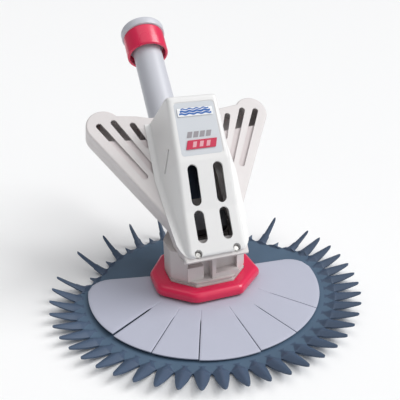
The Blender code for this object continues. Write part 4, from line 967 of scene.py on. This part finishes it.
def make_cassette():
    """The blue-grey sleeve behind the cover's slots."""
    radius, low, high = CASSETTE_HIGH.x, CASSETTE_LOW.z, CASSETTE_HIGH.z
    shoulder = 0.172
    slope = [(radius - (radius - TUBE_RADIUS) * smoothstep(0, 1, k / 8), shoulder + 0.008 * k / 8)
             for k in range(9)]
    inner = [(r - 0.0028, a - 0.002) for r, a in reversed(slope)]
    tube = turned([(radius - 0.003, low), (radius, low), *slope, (TUBE_RADIUS, high), (TUBE_BORE, high),
                   *inner])
    finished("cassette_sleeve", tube, PIPE_FRAME, CASSETTE, ["cassette_tube"],
             smooth=35)


# ---------------------------------------------------------------- the frame's own pieces

NODE_LOOKS = {
    "foot_pad": RUBBER, "foot_flange": BASE, "disc_bush": BASE, "cassette_seal": RUBBER,
    "diaphragm": RUBBER, "diaphragm_ring": CRIMSON, "inner_pipe": PIPE, "pipe_seal": RUBBER,
    "compression_ring": RUBBER, "hose_washer": RUBBER, "left_float": FOAM, "right_float": FOAM,
    "ballast_weight": IRON,
}


def dress_frame_nodes():
    """Every node of the frame that stays in sight gets its finish."""
    for name, node in frame["nodes"].items():
        if node.hide_render:
            continue
        look = NODE_LOOKS.get(name, STEEL)
        node.data.materials.clear()
        node.data.materials.append(look)


# ---------------------------------------------------------------- floor, light and camera


def add_sun(name, azimuth, elevation, spread, strength, colour=(1, 1, 1)):
    """A soft distant light; the azimuth turns from the front towards the right."""
    light = bpy.data.lights.new(name, "SUN")
    light.angle = math.radians(spread)
    light.energy = strength
    light.color = colour
    made = bpy.data.objects.new(name, light)
    turn, lift = math.radians(azimuth), math.radians(elevation)
    place = Vector((math.sin(turn) * math.cos(lift), -math.cos(turn) * math.cos(lift), math.sin(lift)))
    made.location = place * 2
    made.rotation_euler = place.to_track_quat("Z", "Y").to_euler()
    bpy.context.scene.collection.objects.link(made)


def make_studio():
    bm = bmesh.new()
    bmesh.ops.create_grid(bm, x_segments=2, y_segments=2, size=90.0)
    white = plastic("pale_floor", (0.93, 0.93, 0.93), 0.9, mottle=0.0, grain=0.0)
    floor = put("studio_floor", mesh_of("studio_floor", bm), white)
    floor.location.z = -0.0002
    world = bpy.data.worlds.new("pale_studio")
    bpy.context.scene.world = world
    world.use_nodes = True
    sky = world.node_tree.nodes["Background"]
    sky.inputs["Color"].default_value = (0.95, 0.97, 1.0, 1)
    sky.inputs["Strength"].default_value = 0.25
    add_sun("right_softbox", 72, 46, 38, 2.08)
    add_sun("front_fill", 22, 34, 60, 0.62)
    add_sun("overhead", 200, 82, 60, 0.70)


CAMERA_FROM_THROAT = (-0.20044, -0.59817, 0.40961)
CAMERA_AZIMUTH, CAMERA_ELEVATION, CAMERA_ROLL = (math.radians(a) for a in (18.3, 23.25, -1.27))
CAMERA_LENS = 44.48


def make_camera():
    """The camera stands to the front left, looking a little down."""
    data = bpy.data.cameras.new("camera")
    data.lens = CAMERA_LENS
    data.sensor_width = 36.0
    data.clip_start = 0.01
    camera = bpy.data.objects.new("camera", data)
    bpy.context.scene.collection.objects.link(camera)
    ahead = Vector((math.sin(CAMERA_AZIMUTH) * math.cos(CAMERA_ELEVATION),
                    math.cos(CAMERA_AZIMUTH) * math.cos(CAMERA_ELEVATION),
                    -math.sin(CAMERA_ELEVATION)))
    right = ahead.cross(Vector((0, 0, 1))).normalized()
    up = right.cross(ahead)
    turned_right = right * math.cos(CAMERA_ROLL) + up * math.sin(CAMERA_ROLL)
    turned_up = turned_right.cross(ahead)
    camera.matrix_world = Matrix((
        (turned_right.x, turned_up.x, -ahead.x, CAMERA_FROM_THROAT[0]),
        (turned_right.y, turned_up.y, -ahead.y, CAMERA_FROM_THROAT[1] + throat.y),
        (turned_right.z, turned_up.z, -ahead.z, CAMERA_FROM_THROAT[2]),
        (0, 0, 0, 1)))
    bpy.context.scene.camera = camera
    bpy.context.scene.view_settings.view_transform = "Standard"


make_camera()
make_studio()
make_finned_disc()
make_skirt()
make_housing()
make_bumper_strap()
make_back_shell()
make_front_shell()
make_front_cover()
make_plates()
make_pipe_pieces()
make_cassette()
dress_frame_nodes()
